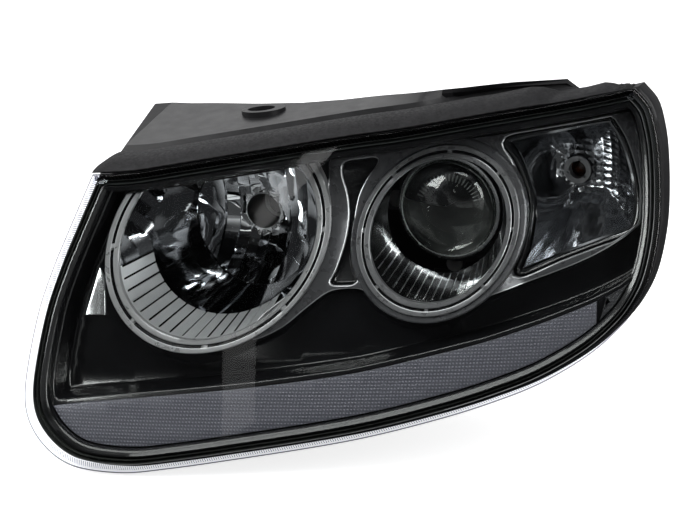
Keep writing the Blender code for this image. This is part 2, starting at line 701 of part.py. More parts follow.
def build_carrier(material):
    """Frame that holds both optics and tilts on the pivot and two ball sockets."""
    px, py, pz = PIVOT
    front, back = CARRIER_FRONT, CARRIER_BACK
    carrier = rod("carrier", HIGH_X, HIGH_Z, 36.0, front, back, 28, material)
    join(carrier,
         rod("low_disc", LOW_X, LOW_Z, 45.0, front + 0.1, back + 0.1, 28),
         *[rod("ear", x, z, 6.4, front + 0.3, back - 0.3, 16) for x, z in EARS],
         block("top_bar", (SIDE_BALL_X, px), (front + 0.6, back - 0.4), (pz - 6, pz + 6)),
         block("centre_bar", (px - 6, px + 6), (front + 0.6, back - 0.4),
               (LOWER_BALL_Z, pz + 3)),
         block("cross_bar", (HIGH_X, LOW_X), (front + 0.8, back - 0.8), (14, 28)),
         rod("side_socket", SIDE_BALL_X, pz, 8.5, front + 0.3, py + 4, 16),
         rod("lower_socket", px, LOWER_BALL_Z, 8.5, front + 0.3, py + 4, 16))
    for side in (-1, 1):
        ear = (px + side * 5.5, px + side * 9.5)
        join(carrier, block("ear", (min(ear), max(ear)), (back - 1.0, py + 5), (pz - 5, pz + 5)))
    cut(carrier,
        rod("high_hole", HIGH_X, HIGH_Z, 23.0, front - 9, back + 9, 28),
        rod("low_hole", LOW_X, LOW_Z, 40.4, front - 9, back + 9, 28),
        rod("side_bore", SIDE_BALL_X, pz, BALL_R + GAP, py - BALL_R - GAP, py + 10, 16),
        rod("lower_bore", px, LOWER_BALL_Z, BALL_R + GAP, py - BALL_R - GAP, py + 10, 16),
        side_rod("pin_bore", 2.3, 14.0))
    return carrier


def side_rod(name, radius, half_length):
    """A rod along X through the pivot."""
    px, py, pz = PIVOT
    loops = []
    for x in (px - half_length, px + half_length):
        loops.append([(x, py + radius * math.cos(2 * math.pi * k / 14),
                       pz + radius * math.sin(2 * math.pi * k / 14)) for k in range(14)])
    return loft(name, loops, None)


def build_aim_pivot(material):
    """Cross-shaped pivot: upright pins turn in the housing, level pins in the carrier."""
    px, py, pz = PIVOT
    half = 4.6
    cross = block("aim_pivot", (px - half, px + half), (py - 3.6, py + 3.6),
                  (pz - half, pz + half), material)
    join(cross, side_rod("level_pins", 2.1, 9.0),
         post("upright_pins", px, py, 2.1, (pz - 9.8, pz + 9.8)))
    set_origin(cross, PIVOT)
    return cross


def build_screw(name, x, z, end, material):
    """Ball-ended adjuster screw that slides through its knob."""
    profile = ball_profile(BALL_R, PIVOT[1], 2.6)
    profile += [(2.6, flat(end))]
    return turned(name, x, z, profile, 16, material, ring=False)


def build_knob(name, x, z, front, material):
    """Fluted adjuster knob with a bore for the screw."""
    points = 24
    loop = []
    for k in range(points):
        reach = 10.0 if k % 2 else 8.9
        angle = 2 * math.pi * k / points
        loop.append((x + reach * math.cos(angle), z + reach * math.sin(angle)))
    knob = plate(name, loop, flat(front + 1.4), flat(front + 13.0), material)
    join(knob, rod("knob_collar", x, z, 6.4, front, front + 2.0, 24))
    cut(knob, rod("knob_bore", x, z, 3.0, front - 1.0, front + 11.4))
    set_origin(knob, (x, front, z))
    return knob


def build_bush(name, x, z, front, back, outer, inner, material):
    return tube(name, x, z, outer, inner, front, back, 16, material)


def build_fixing_screws(prefix, x, z, radius, head_back, angles, material):
    """Screws that hold an optic to the carrier, heads on the carrier's back."""
    for number, angle in enumerate(angles, 1):
        px = x + radius * math.cos(math.radians(angle))
        pz = z + radius * math.sin(math.radians(angle))
        profile = [(3.4, flat(head_back + 2.6)), (3.4, flat(head_back + GAP))]
        turned(f"{prefix}_{number}", px, pz, profile, 12, material, ring=False)


# ---- housing and what is on its back ------------------------------------------------------

def back_wall(x, z):
    return BACK_Y + BACK_SLOPE * x


def housing_loops(outline, thin):
    """Loops of the housing's outside, or of its inside when thin is the wall's thickness."""
    normals = inward_normals(outline)
    top = [min(max((-normal.y - 0.55) / 0.3, 0.0), 1.0)
           * min(max((PLATE_END_X - x) / PLATE_FADE, 0.0), 1.0)
           for normal, (x, z) in zip(normals, outline)]
    ends = [t * min(max((x - SHOULDER_START) / SHOULDER_RUN, 0.0), 1.0)
            for t, (x, z) in zip(top, outline)]
    shoulder = inset(outline, [6.0 * (1 - t) - PLATE_RISE * t + thin for t in ends])
    middle = inset(outline, [14.0 * (1 - t) - PLATE_RISE * t + thin for t in top])
    back = scaled(inset(outline, thin), BACK_SCALE)
    loops = [lifted(shoulder, behind_lens(33.0 + thin))]
    body = []
    for (x, z), t in zip(middle, top):
        front = lens_depth(x, z - PLATE_RISE * t)
        low = front + max(0.62 * (back_wall(x, z) - front), SHELL_MIN_DEPTH)
        high = max(160.0, front + 38.0)
        body.append((x, low * (1 - t) + high * t - thin, z + t * between(PLATE_LIFT, x)))
    loops.append(body)
    loops.append([(x, back_wall(x, z) - thin, z) for x, z in back])
    return loops


def build_housing(outline, material):
    """Black shell: channel for the lens, top plate, back wall, necks, bosses and lugs."""
    outside = [lifted(inset(outline, 0.8), behind_lens(14)),
               lifted(inset(outline, 0.8), behind_lens(31))]
    outside += housing_loops(outline, 0.0)
    inside = [lifted(inset(outline, 3.2), behind_lens(14)),
              lifted(inset(outline, 3.2), behind_lens(28)),
              lifted(inset(outline, 7.0), behind_lens(28))]
    inside += housing_loops(outline, WALL)
    housing = loft("housing", outside[::-1] + inside, material)
    add_necks(housing)
    add_pivot_ears(housing)
    add_adjuster_bosses(housing)
    add_fixings(housing)
    add_connector_hole(housing)
    add_spigots(housing)
    return housing


def add_necks(housing):
    """Round necks that the two dust caps and the turn signal's bulb holder close."""
    necks = ((HIGH_X, HIGH_Z, NECK_R, NECK_BORE, HIGH_NECK_END),
             (LOW_X, LOW_Z, NECK_R, NECK_BORE, LOW_NECK_END),
             (TURN_X, TURN_Z, TURN_NECK_R, TURN_NECK_BORE, TURN_NECK_END))
    for x, z, outer, inner, back in necks:
        front = back_wall(x - outer, z) - 1.2
        join(housing, rod("neck", x, z, outer, front, back, 28))
        cut(housing, rod("neck_bore", x, z, inner, front - 10.0, back + 5.0, 28))


def add_pivot_ears(housing):
    """Two ears from the back wall that hold the pivot's upright pins."""
    px, py, pz = PIVOT
    for side in (-1, 1):
        level = sorted((pz + side * 5.2, pz + side * 9.2))
        join(housing, block("ear", (px - 4, px + 4), (py - 3.6, back_wall(px, pz) - 0.5), level))
        cut(housing, post("ear_bore", px, py, 2.3, (pz + side * 7.2 - 4, pz + side * 7.2 + 4)))


def add_adjuster_bosses(housing):
    for x, z in ((SIDE_BALL_X, PIVOT[2]), (PIVOT[0], LOWER_BALL_Z)):
        wall = back_wall(x, z)
        join(housing, rod("boss", x, z, 10.5, wall - 5.0, wall + 4.0, 16))
        cut(housing, rod("boss_bore", x, z, 7.0, wall - 12.0, wall + 6.0, 16))


def add_fixings(housing):
    """The top plate's flat pad with its hole, and two lugs under the body."""
    pad_x, pad_y, pad_z = UPPER_PAD
    join(housing, post("pad", pad_x, pad_y, PAD_R, (pad_z - PAD_HEIGHT, pad_z), 24, PAD_LEAN))
    reach = 10.0
    cut(housing, post("pad_hole", pad_x + PAD_LEAN * reach, pad_y, PAD_HOLE_R,
                      (pad_z - reach, pad_z + reach), 24, PAD_LEAN))
    for x, y, z in LUGS:
        join(housing,
             block("lug", (x - LUG_R + 1, x + LUG_R - 1), (y + 1.5, y + 5), (z, z + 22)),
             rod("lug_end", x, z, LUG_R, y, y + 4.8, 20))
        cut(housing, rod("lug_hole", x, z, LUG_HOLE_R, y - 5, y + 10))


def add_connector_hole(housing):
    x, z = CONNECTOR
    cut(housing, block("connector_hole", (x - 17.4, x + 17.4), (200, 240), (z - 9.4, z + 9.4)))


def add_spigots(housing):
    """Short breather tubes on the back wall."""
    for x, z in BREATHERS:
        wall = back_wall(x, z)
        join(housing, rod("spigot", x, z, 4.0, wall - 2.0, wall + 9.0, 12))
        cut(housing, rod("spigot_bore", x, z, 2.4, wall - 8.0, wall + 12.0, 12))


def build_cap(name, x, z, neck_end, material):
    """Twist-off dust cap with a grip bar."""
    seat = neck_end + 2.4
    profile = [(41.5, flat(neck_end - 9.0)), (41.5, flat(seat + 2.0)), (40.0, flat(seat + 3.0)),
               (12.0, flat(seat + 3.0)), (12.0, flat(seat)), (38.7, flat(seat)),
               (38.7, flat(neck_end - 9.0))]
    cap = turned(name, x, z, profile, 24, material)
    join(cap, rod("cap_middle", x, z, 13.0, seat + 0.4, seat + 2.6, 20),
         block("cap_grip", (x - 28, x + 28), (seat + 1.5, seat + 12.0), (z - 4, z + 4)))
    set_origin(cap, (x, neck_end, z))
    return cap


def build_turn_holder(materials):
    """Twist-in holder for the turn signal's bulb, and the bulb."""
    end = TURN_NECK_END
    holder = turned("turn_bulb_holder", TURN_X, TURN_Z,
                    [(10.0, flat(end - 19.0)), (10.0, flat(end - 10.0)),
                     (18.7, flat(end - 10.0)), (18.7, flat(end + 0.5)),
                     (22.5, flat(end + 0.5)), (22.5, flat(end + 3.0))],
                    24, materials["black_plastic"], ring=False)
    join(holder, block("holder_grip", (TURN_X - 14, TURN_X + 14), (end + 2, end + 9.6),
                       (TURN_Z - 3, TURN_Z + 3)))
    cut(holder, rod("base_bore", TURN_X, TURN_Z, 6.4, end - 22.0, end - 8.0))
    set_origin(holder, (TURN_X, end, TURN_Z))
    tip = TURN_SOCKET_Y + 2.0
    profile = [(1.0, flat(tip)), (4.0, flat(tip + 0.8)), (5.6, flat(tip + 3.4)),
               (6.0, flat(tip + 6.4)), (6.0, flat(end - 8.4))]
    bulb = turned("turn_bulb", TURN_X, TURN_Z, profile, 16, materials["amber_glass"],
                  ring=False)
    set_origin(bulb, (TURN_X, end, TURN_Z))
    return holder


def build_connector(material):
    """Socket for the car's plug: a shroud with six blades on its floor."""
    x, z = CONNECTOR
    wall = back_wall(x, z)
    shroud = block("main_connector", (x - 17, x + 17), (wall - 6, wall + 22), (z - 9, z + 9),
                   material)
    join(shroud, block("flange", (x - 21, x + 21), (wall + 6.2, wall + 8.6), (z - 13, z + 13)))
    cut(shroud, block("cavity", (x - 15, x + 15), (wall + 2, wall + 30), (z - 7, z + 7)))
    for column in range(3):
        for row in (-1, 1):
            bx, bz = x + 9.0 * (column - 1), z + 3.4 * row
            join(shroud, block("blade", (bx - 1.4, bx + 1.4), (wall, wall + 15),
                               (bz - 0.5, bz + 0.5)))
    return shroud


def build_breather(name, x, z, material):
    wall = back_wall(x, z)
    profile = [(7.0, flat(wall + 2.6)), (7.0, flat(wall + 13.0)), (5.4, flat(wall + 14.4))]
    cap = turned(name, x, z, profile, 16, material, ring=False)
    cut(cap, rod("cap_bore", x, z, 4.4, wall - 2, wall + 10.4, 12))
    return cap


def main():
    clear_scene()
    materials = {
        "black_plastic": make_material("black_plastic", (0.012, 0.012, 0.013), 0.45),
        "gloss_black": make_material("gloss_black", (0.008, 0.008, 0.009), 0.12),
        "grey_trim": make_material("grey_trim", (0.16, 0.16, 0.16), 0.35, 0.6),
        "clear_lens": make_material("clear_lens", (0.9, 0.95, 0.93), 0.03, 0.0, 1.0),
        "clear_glass": make_material("clear_glass", (0.9, 0.95, 0.95), 0.0, 0.0, 1.0),
        "amber_glass": make_material("amber_glass", (0.5, 0.12, 0.03), 0.1, 0.0, 0.6),
        "chrome": make_material("chrome", (0.82, 0.83, 0.84), 0.06, 1.0),
        "satin_metal": make_material("satin_metal", (0.55, 0.56, 0.57), 0.3, 1.0),
        "metal_shell": make_material("metal_shell", (0.5, 0.5, 0.5), 0.4, 1.0),
        "dark_metal": make_material("dark_metal", (0.05, 0.05, 0.055), 0.35, 0.6),
        "dotted_grey": make_material("dotted_grey", (0.08, 0.08, 0.095), 0.4),
        "foam": make_material("foam", (0.02, 0.02, 0.021), 0.85),
        "rubber": make_material("rubber", (0.015, 0.015, 0.015), 0.7),
        "white_plastic": make_material("white_plastic", (0.7, 0.7, 0.68), 0.45),
        "steel": make_material("steel", (0.6, 0.6, 0.6), 0.3, 1.0),
    }
    outline = lens_outline()
    build_outer_lens(outline, materials["clear_lens"])
    build_lens_seal(outline, materials["rubber"])
    build_weatherstrip(materials["foam"])
    build_bezel(outline, materials["gloss_black"])
    build_ring_trim(outline, materials["grey_trim"])
    build_high_cone(outline, materials["satin_metal"])
    build_low_cone(materials["dark_metal"])
    build_lower_strip(materials["dotted_grey"])
    build_turn_reflector(materials["chrome"])
    build_turn_socket_ring(materials["grey_trim"])

    for body in (build_high_reflector(materials["chrome"]),
                 build_bulb_seat("high_bulb_seat", HIGH_X, HIGH_Z, HIGH_SEAT_Y + 0.4, 11.0,
                                 materials["steel"]),
                 *build_projector(materials),
                 build_bulb_seat("low_bulb_seat", LOW_X, LOW_Z, LOW_SEAT_Y + 0.4, 11.0,
                                 materials["steel"]),
                 build_carrier(materials["black_plastic"])):
        set_origin(body, PIVOT)
    build_fixing_screws("high_optic_screw", HIGH_X, HIGH_Z, 28.0, CARRIER_BACK,
                        (90, 210, 330), materials["steel"])
    build_fixing_screws("projector_screw", LOW_X, LOW_Z, 45.0, CARRIER_BACK + 0.1,
                        EAR_ANGLES, materials["steel"])
    build_aim_pivot(materials["white_plastic"])

    for side, x, z in (("horizontal", SIDE_BALL_X, PIVOT[2]),
                       ("vertical", PIVOT[0], LOWER_BALL_Z)):
        wall = back_wall(x, z)
        build_screw(f"{side}_screw", x, z, wall + 12.0, materials["steel"])
        build_bush(f"{side}_bush", x, z, wall - 5.0, wall + 4.0, 6.6, 3.0,
                   materials["rubber"])
        build_knob(f"{side}_knob", x, z, wall + 4.6, materials["white_plastic"])

    build_housing(outline, materials["black_plastic"])
    for beam, x, z, neck_end in (("high", HIGH_X, HIGH_Z, HIGH_NECK_END),
                                 ("low", LOW_X, LOW_Z, LOW_NECK_END)):
        build_cap(f"{beam}_beam_cap", x, z, neck_end, materials["black_plastic"])
        tube(f"{beam}_cap_seal", x, z, 38.0, 34.8, neck_end + 0.3, neck_end + 2.0, 28,
             materials["rubber"])
    build_turn_holder(materials)
    build_connector(materials["black_plastic"])
    for number, (x, z) in enumerate(BREATHERS, 1):
        build_breather(f"breather_cap_{number}", x, z, materials["rubber"])
    for number, (x, y, z) in enumerate(LUGS, 1):
        build_bush(f"fixing_sleeve_{number}", x, z, y + 0.4, y + 6.0, 4.8, 3.3,
                   materials["steel"])


main()
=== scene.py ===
"""Looks of a left-hand car headlight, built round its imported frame.

Shapes are laid out in millimetres: +X is outboard, -Y is the way the lamp shines and +Z is up.
place() turns a point of that layout into metres in the frame, from where the frame has the
projector's lens.
"""
import math
import random

import bmesh
import bpy
from mathutils import Matrix, Vector, geometry


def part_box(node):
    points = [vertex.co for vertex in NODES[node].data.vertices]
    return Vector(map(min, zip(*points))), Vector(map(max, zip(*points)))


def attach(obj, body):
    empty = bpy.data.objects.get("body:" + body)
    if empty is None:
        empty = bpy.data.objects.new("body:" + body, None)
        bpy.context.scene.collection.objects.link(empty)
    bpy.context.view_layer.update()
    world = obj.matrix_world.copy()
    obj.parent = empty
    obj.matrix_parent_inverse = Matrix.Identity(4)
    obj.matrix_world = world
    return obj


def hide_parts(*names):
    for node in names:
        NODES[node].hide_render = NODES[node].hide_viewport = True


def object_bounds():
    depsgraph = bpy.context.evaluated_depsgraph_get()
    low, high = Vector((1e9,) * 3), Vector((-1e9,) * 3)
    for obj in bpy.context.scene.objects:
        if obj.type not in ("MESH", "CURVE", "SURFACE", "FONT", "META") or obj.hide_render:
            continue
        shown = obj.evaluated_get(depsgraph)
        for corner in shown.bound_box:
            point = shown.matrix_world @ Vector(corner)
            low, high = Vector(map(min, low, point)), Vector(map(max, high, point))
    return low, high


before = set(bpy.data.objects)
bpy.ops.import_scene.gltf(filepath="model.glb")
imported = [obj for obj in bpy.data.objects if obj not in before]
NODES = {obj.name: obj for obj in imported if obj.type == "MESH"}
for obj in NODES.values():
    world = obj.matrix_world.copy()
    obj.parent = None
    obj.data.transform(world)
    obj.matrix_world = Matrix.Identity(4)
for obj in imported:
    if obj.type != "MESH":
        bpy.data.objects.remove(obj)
CAD_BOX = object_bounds()

MM = 0.001

# Lens face: swept back outboard, raked back upwards.
LENS_START_X = -225.0
SWEEP_SLOPE = 0.15
SWEEP_CURVE = 0.0005
RAKE = 0.50
LENS_THICK = 3.5
LENS_CENTRE = (-5.0, -10.0)

# Lens outline (X, Z): the top edge, then clockwise round the rest.
TOP_EDGE = [(-185, 54), (-157, 56), (-123, 62), (-69, 71.5), (-16, 80.5), (20, 85.5),
            (70, 94), (132, 103.8), (167.5, 110.5)]
LOWER_EDGE = [(167.5, 110.5), (178.5, 99), (185, 84), (190, 65.5), (194.5, 38), (196.5, 12),
              (194.5, -15), (188.5, -33), (179, -47.5), (161.5, -64), (135, -80), (107, -91),
              (72, -101.5), (18, -114), (-62, -127), (-98, -132.5), (-126, -135.8),
              (-154, -134.5), (-172, -129.5), (-188, -119), (-200, -105), (-206, -88),
              (-207.4, -63), (-206, -33), (-201.5, -8), (-197, 10), (-185, 54)]

# High beam.
HIGH_X, HIGH_Z = -96.5, 10.5
HIGH_RING_Y = 52.0
HIGH_RING_SLOPE = (0.41, 0.62)
HIGH_RING_R = 68.0
HIGH_CONE_Y = 84.5
HIGH_CONE_SLOPE = (0.25, 0.43)
HIGH_BULB_Y = 140.0
HIGH_BULB_R = 13.0
HIGH_MOUTH_R = 62.4
HIGH_SEAT_Y = 175.0

# Low beam projector.
LOW_RING_X, LOW_RING_Z = 48.5, 16.0
LOW_RING_Y = 108.0
LOW_RING_SLOPE = (0.25, 0.60)
LOW_RING_R = 50.8
LOW_X, LOW_Z = 45.2, 23.7
LOW_LENS_Y = 147.0
LOW_LENS_R = 35.0
RING_HALF = 4.5

# Turn signal.
TURN_X, TURN_Z = 122.0, 43.5
TURN_SOCKET_Y = 215.0
TURN_WINDOW = [(87.5, 75), (118, 81), (147, 86), (152, 83), (161, 70), (170, 49), (175, 29),
               (175, 17), (171, 11), (154, 5), (130, -4), (109, -13), (104, -11), (107, 1),
               (107.6, 24), (103.5, 41), (93, 61), (85, 71)]

# Bezel and dotted strip.
BEZEL_FLOOR = 36.0
STRIP_SPLIT = 163.0                   # where the darker outboard end begins
STRIP_TOP = [(-188.0, -98.5), (-164, -95), (-103, -88.5), (-53, -83), (8, -74.5), (52, -65),
             (92, -55.4), (127.5, -44), (156, -33), (173, -24.5), (182, -17.5)]

# Satin panel between the rings: its edge, and the pocket in it.
PANEL_EDGE = [(-34, 64), (-22, 67.5), (8, 72.5), (44.5, 79.5), (78, 86), (117, 92.5), (150, 97),
              (166, 86), (180, 50), (181, 22), (175, 12), (160, 1), (141, -8.5), (112.5, -19),
              (88, -27), (70, -35), (50, -40), (35, -39.5), (22, -34.5), (11, -28), (2, -24),
              (-8, -23.5), (-17, -24.5), (-23.5, -28.5), (-32, -36), (-45, -47.5), (-62, -54),
              (-60, -40), (-40, -20), (-30, 10), (-32, 45)]
POCKET = [(-24.5, 57), (-21, 59.5), (-12, 60.8), (-4, 61.6), (-1.4, 58.5), (-7.5, 46.5),
          (-10.8, 34), (-10.7, 15), (-7.4, 1), (-2, -12.5), (-1.2, -17.5), (-4, -20.6),
          (-10, -21), (-16, -20.6), (-18.6, -18.2), (-16, -10.5), (-13.9, 5.5), (-14.2, 21),
          (-17.6, 36.5), (-23.5, 50)]

CAMERA_AZIMUTH = 20.0
CAMERA_ELEVATION = 15.0
CAMERA_DISTANCE = 2000.0
CAMERA_TARGET = (0.0, 60.0, 0.0)
VIEW_WIDTH = 490.0                    # width of what the camera sees at its target
SENSOR = 36.0


def layout_origin():
    low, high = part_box("projector_lens")
    return (LOW_X - (low.x + high.x) / 2 / MM, LOW_LENS_Y - high.y / MM,
            LOW_Z - (low.z + high.z) / 2 / MM)


ORIGIN = layout_origin()


def place(point):
    return Vector([(value - origin) * MM for value, origin in zip(point, ORIGIN)])


# ---- curves and loops of points -----------------------------------------------------------

def spline(p0, p1, p2, p3, t):
    """Point at t on the Catmull-Rom span from p1 to p2."""
    return 0.5 * (2 * p1 + (p2 - p0) * t + (2 * p0 - 5 * p1 + 4 * p2 - p3) * t * t
                  + (3 * p1 - p0 - 3 * p2 + p3) * t ** 3)


def even_run(dense, count):
    """Evenly spaced points along an open run."""
    lengths = [0.0]
    for first, second in zip(dense, dense[1:]):
        lengths.append(lengths[-1] + (second - first).length)
    run = []
    at = 0
    for index in range(count):
        goal = lengths[-1] * index / (count - 1)
        while at < len(dense) - 2 and lengths[at + 1] < goal:
            at += 1
        part = (goal - lengths[at]) / max(lengths[at + 1] - lengths[at], 1e-9)
        run.append(tuple(dense[at].lerp(dense[at + 1], part)))
    return run


def smooth_run(points, count):
    knots = [Vector(point) for point in (points[0], *points, points[-1])]
    dense = [spline(*knots[index:index + 4], step / 16)
             for index in range(len(points) - 1) for step in range(16)]
    return even_run(dense + [knots[-1]], count)


def closed_curve(points, count):
    knots = [Vector(point) for point in (points[-1], *points, points[0], points[1])]
    dense = [spline(*knots[index:index + 4], step / 16)
             for index in range(len(points)) for step in range(16)]
    return even_run(dense + [knots[1]], count + 1)[:-1]


def lens_outline(top_count, lower_count):
    top = smooth_run(TOP_EDGE, top_count)
    lower = smooth_run(LOWER_EDGE, lower_count)
    return top[:-1] + lower[:-1]


def inset(loop, distance):
    """A clockwise loop moved inward, or an anticlockwise one moved outward."""
    moved = []
    for index, point in enumerate(loop):
        before = Vector(loop[index - 1])
        after = Vector(loop[(index + 1) % len(loop)])
        along = (after - before).normalized()
        step = distance[index] if isinstance(distance, list) else distance
        moved.append((point[0] + along.y * step, point[1] - along.x * step))
    return moved


def scaled(loop, factor, centre=LENS_CENTRE):
    return [(centre[0] + (x - centre[0]) * factor, centre[1] + (z - centre[1]) * factor)
            for x, z in loop]


def circle(x, z, radius, count):
    """Anticlockwise circle, seen from the front."""
    return [(x + radius * math.cos(2 * math.pi * k / count),
             z + radius * math.sin(2 * math.pi * k / count)) for k in range(count)]


def between(pairs, x):
    """Value at x, from (x, value) pairs in order."""
    for (x1, value1), (x2, value2) in zip(pairs, pairs[1:]):
        if x <= x2:
            return value1 + (value2 - value1) * (x - x1) / (x2 - x1)
    return pairs[-1][1]


def lens_depth(x, z):
    run = x - LENS_START_X
    return SWEEP_SLOPE * run + SWEEP_CURVE * run * run + RAKE * z


def behind_lens(setback):
    return lambda x, z: lens_depth(x, z) + setback


def flat(y):
    return lambda x, z: y


def tilted(x, z, y, slope):
    return lambda px, pz: y + slope[0] * (px - x) + slope[1] * (pz - z)


def blend(first, second, part):
    return lambda x, z: first(x, z) * (1 - part) + second(x, z) * part


def lifted(loop, depth):
    return [(x, depth(x, z), z) for x, z in loop]


def set_back(outline, pairs):
    """Loops drawn in from an outline and set back from the lens, from (inset, setback) pairs."""
    return [lifted(inset(outline, side), behind_lens(back)) for side, back in pairs]


def at_depths(y, pairs):
    """A turned piece's profile from (radius, depth behind y) pairs."""
    return [(radius, flat(y + back)) for radius, back in pairs]


def shifted(loop, count):
    return loop[count:] + loop[:count]


# ---- meshes -------------------------------------------------------------------------------

def new_piece(name, points, faces, material, crease=32.0):
    """A mesh object from points of the layout, shaded smooth up to the crease angle."""
    mesh = bpy.data.meshes.new(name)
    mesh.from_pydata([place(point) for point in points], [], faces)
    build = bmesh.new()
    build.from_mesh(mesh)
    bmesh.ops.recalc_face_normals(build, faces=build.faces)
    build.to_mesh(mesh)
    build.free()
    mesh.shade_smooth()
    mesh.set_sharp_from_angle(angle=math.radians(crease))
    if material is not None:
        mesh.materials.append(material)
    piece = bpy.data.objects.new(name, mesh)
    bpy.context.scene.collection.objects.link(piece)
    return piece


def settle(piece, body, slot, *nodes):
    """Mount a finished piece on its body, and hide the nodes it replaces. slot is not used."""
    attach(piece, body)
    if nodes:
        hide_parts(*nodes)
    return piece


def bridge(first, second):
    """Faces between two closed rows of point numbers."""
    count = len(first)
    return [(first[k], first[(k + 1) % count], second[(k + 1) % count], second[k])
            for k in range(count)]


def loft(name, loops, material, ring=False, crease=32.0):
    """Skin loops of equal length, as a ring, or capped with a fan at each end."""
    count = len(loops[0])
    points = [point for loop in loops for point in loop]
    rows = [range(start, start + count) for start in range(0, len(points), count)]
    faces = []
    for first, second in zip(rows, rows[1:] + rows[:1] if ring else rows[1:]):
        faces += bridge(first, second)
    for row in () if ring else (rows[0], rows[-1]):
        hub = len(points)
        points.append(tuple(sum(points[k][axis] for k in row) / count for axis in range(3)))
        faces += [(row[k], row[(k + 1) % count], hub) for k in range(count)]
    return new_piece(name, points, faces, material, crease)


def paint(piece, columns, levels, look, chosen=lambda column: True):
    """Give chosen faces on some levels of a loft another of the piece's looks, by number."""
    for level in levels:
        for k in range(columns):
            if chosen(k):
                piece.data.polygons[level * columns + k].material_index = look


def turned(name, x, z, profile, count, material, ring=True, crease=32.0):
    """A round piece about an axis along Y, from (radius, depth function) pairs."""
    loops = [lifted(circle(x, z, max(radius, 0.05), count), depth) for radius, depth in profile]
    return loft(name, loops, material, ring, crease)


def inside(point, loop):
    x, z = point
    hit = False
    for (x1, z1), (x2, z2) in zip(loop, loop[1:] + loop[:1]):
        if (z1 > z) != (z2 > z) and x < (x2 - x1) * (z - z1) / (z2 - z1) + x1:
            hit = not hit
    return hit


def near(point, loop, reach):
    """True if a point lies within reach of a loop of closely spaced points."""
    x, z = point
    return any(abs(px - x) < reach and abs(pz - z) < reach for px, pz in loop)


def sheet(loops, spacing, lines=()):
    """Triangles over the first loop less the others: (points, faces), loop points first.

    lines are open runs of points that triangles don't cross.
    """
    points = [Vector(point) for loop in loops for point in loop]
    edges = []
    start = 0
    for loop in loops:
        edges += [(start + k, start + (k + 1) % len(loop)) for k in range(len(loop))]
        start += len(loop)
    for line in lines:
        points += [Vector(point) for point in line]
        edges += [(start + k, start + k + 1) for k in range(len(line) - 1)]
        start += len(line)
    xs = [x for x, z in loops[0]]
    zs = [z for x, z in loops[0]]
    row = 0
    z = min(zs) + spacing / 2
    while z < max(zs):
        x = min(xs) + spacing * (0.5 + 0.5 * (row % 2))
        while x < max(xs):
            spot = (x, z)
            if (inside(spot, loops[0]) and not any(inside(spot, hole) for hole in loops[1:])
                    and not any(near(spot, loop, spacing * 0.55) for loop in (*loops, *lines))):
                points.append(Vector(spot))
            x += spacing
        z += spacing * 0.87
        row += 1
    result = geometry.delaunay_2d_cdt(points, edges, [], 0, 1e-6)
    verts, triangles = result[0], result[2]
    kept = []
    for face in triangles:
        middle = sum((verts[index] for index in face), Vector((0, 0))) / len(face)
        spot = (middle.x, middle.y)
        if inside(spot, loops[0]) and not any(inside(spot, hole) for hole in loops[1:]):
            kept.append(tuple(face))
    return [tuple(point) for point in verts], kept


def plate(name, outline, holes, front, back, material, spacing=6.0, edge=0.8, rim=None,
          edge_highlight_look=None):
    """A plate between two depth functions, its front edges rounded, with holes through it.

    The outline runs clockwise and the holes anticlockwise. rim is a list of 3-D loops that
    replaces the rounded wall round the outline. edge_highlight_look is a lighter look for the
    rounded edges alone, a painted highlight along them.
    """
    rounding = ((1.0, 0.0), (0.3, 0.3), (0.0, 1.0))
    tops = [outline if rim else inset(outline, edge)] + [inset(hole, edge) for hole in holes]
    feet = [rim_foot(rim) if rim else outline] + list(holes)
    points, faces = sheet(tops, spacing)
    points = [(x, front(x, z), z) for x, z in points]
    below, under = sheet(feet, spacing * 2)
    base = len(points)
    points += [(x, back(x, z), z) for x, z in below]
    faces += [tuple(base + index for index in face) for face in under]
    start = 0
    rounded = []
    for number, loop in enumerate([outline, *holes]):
        count = len(loop)
        if rim and number == 0:
            chain = rim[1:-1]
        else:
            chain = [lifted(inset(loop, edge * side), lambda x, z, d=drop: front(x, z) + edge * d)
                     for side, drop in rounding[1:]]
        rows = [list(range(start, start + count))]
        for level in chain:
            rows.append(list(range(len(points), len(points) + count)))
            points += level
        rows.append(list(range(base + start, base + start + count)))
        if not (rim and number == 0):
            rounded += range(len(faces), len(faces) + 2 * count)
        for upper, lower in zip(rows, rows[1:]):
            faces += bridge(upper, lower)
        start += count
    piece = new_piece(name, points, faces, material)
    # a lighter look on the rounded edges: a painted highlight
    if edge_highlight_look:
        piece.data.materials.append(edge_highlight_look)
        for index in rounded:
            piece.data.polygons[index].material_index = 1
    return piece


def rim_foot(rim):
    return [(x, z) for x, y, z in rim[-1]]


def stack(name, x, z, profile, count, material, body, slot, *nodes, ring=True):
    """A turned piece, mounted."""
    piece = turned(name, x, z, profile, count, material, ring)
    return settle(piece, body, slot, *nodes)


def boolean(target, tools, operation):
    """Apply one exact Boolean with several tools, and drop the tools."""
    group = bpy.data.collections.new("tools")
    bpy.context.scene.collection.children.link(group)
    for tool in tools:
        group.objects.link(tool)
    step = target.modifiers.new("combine", "BOOLEAN")
    step.operation = operation
    step.solver = "EXACT"
    step.operand_type = "COLLECTION"
    step.collection = group
    bpy.context.view_layer.update()
    evaluated = target.evaluated_get(bpy.context.evaluated_depsgraph_get())
    target.data = bpy.data.meshes.new_from_object(evaluated)
    target.modifiers.clear()
    for tool in tools:
        bpy.data.objects.remove(tool, do_unlink=True)
    bpy.data.collections.remove(group)


def rod(x, z, radius, front, back, count=64):
    profile = [(radius, flat(front)), (radius, flat(back))]
    return turned("rod", x, z, profile, count, None, ring=False)


def block(x_range, y_range, z_range):
    points = [(x, y, z) for x in x_range for y in y_range for z in z_range]
    faces = [(0, 1, 3, 2), (4, 6, 7, 5), (0, 4, 5, 1), (2, 3, 7, 6), (0, 2, 6, 4), (1, 5, 7, 3)]
    return new_piece("block", points, faces, None)


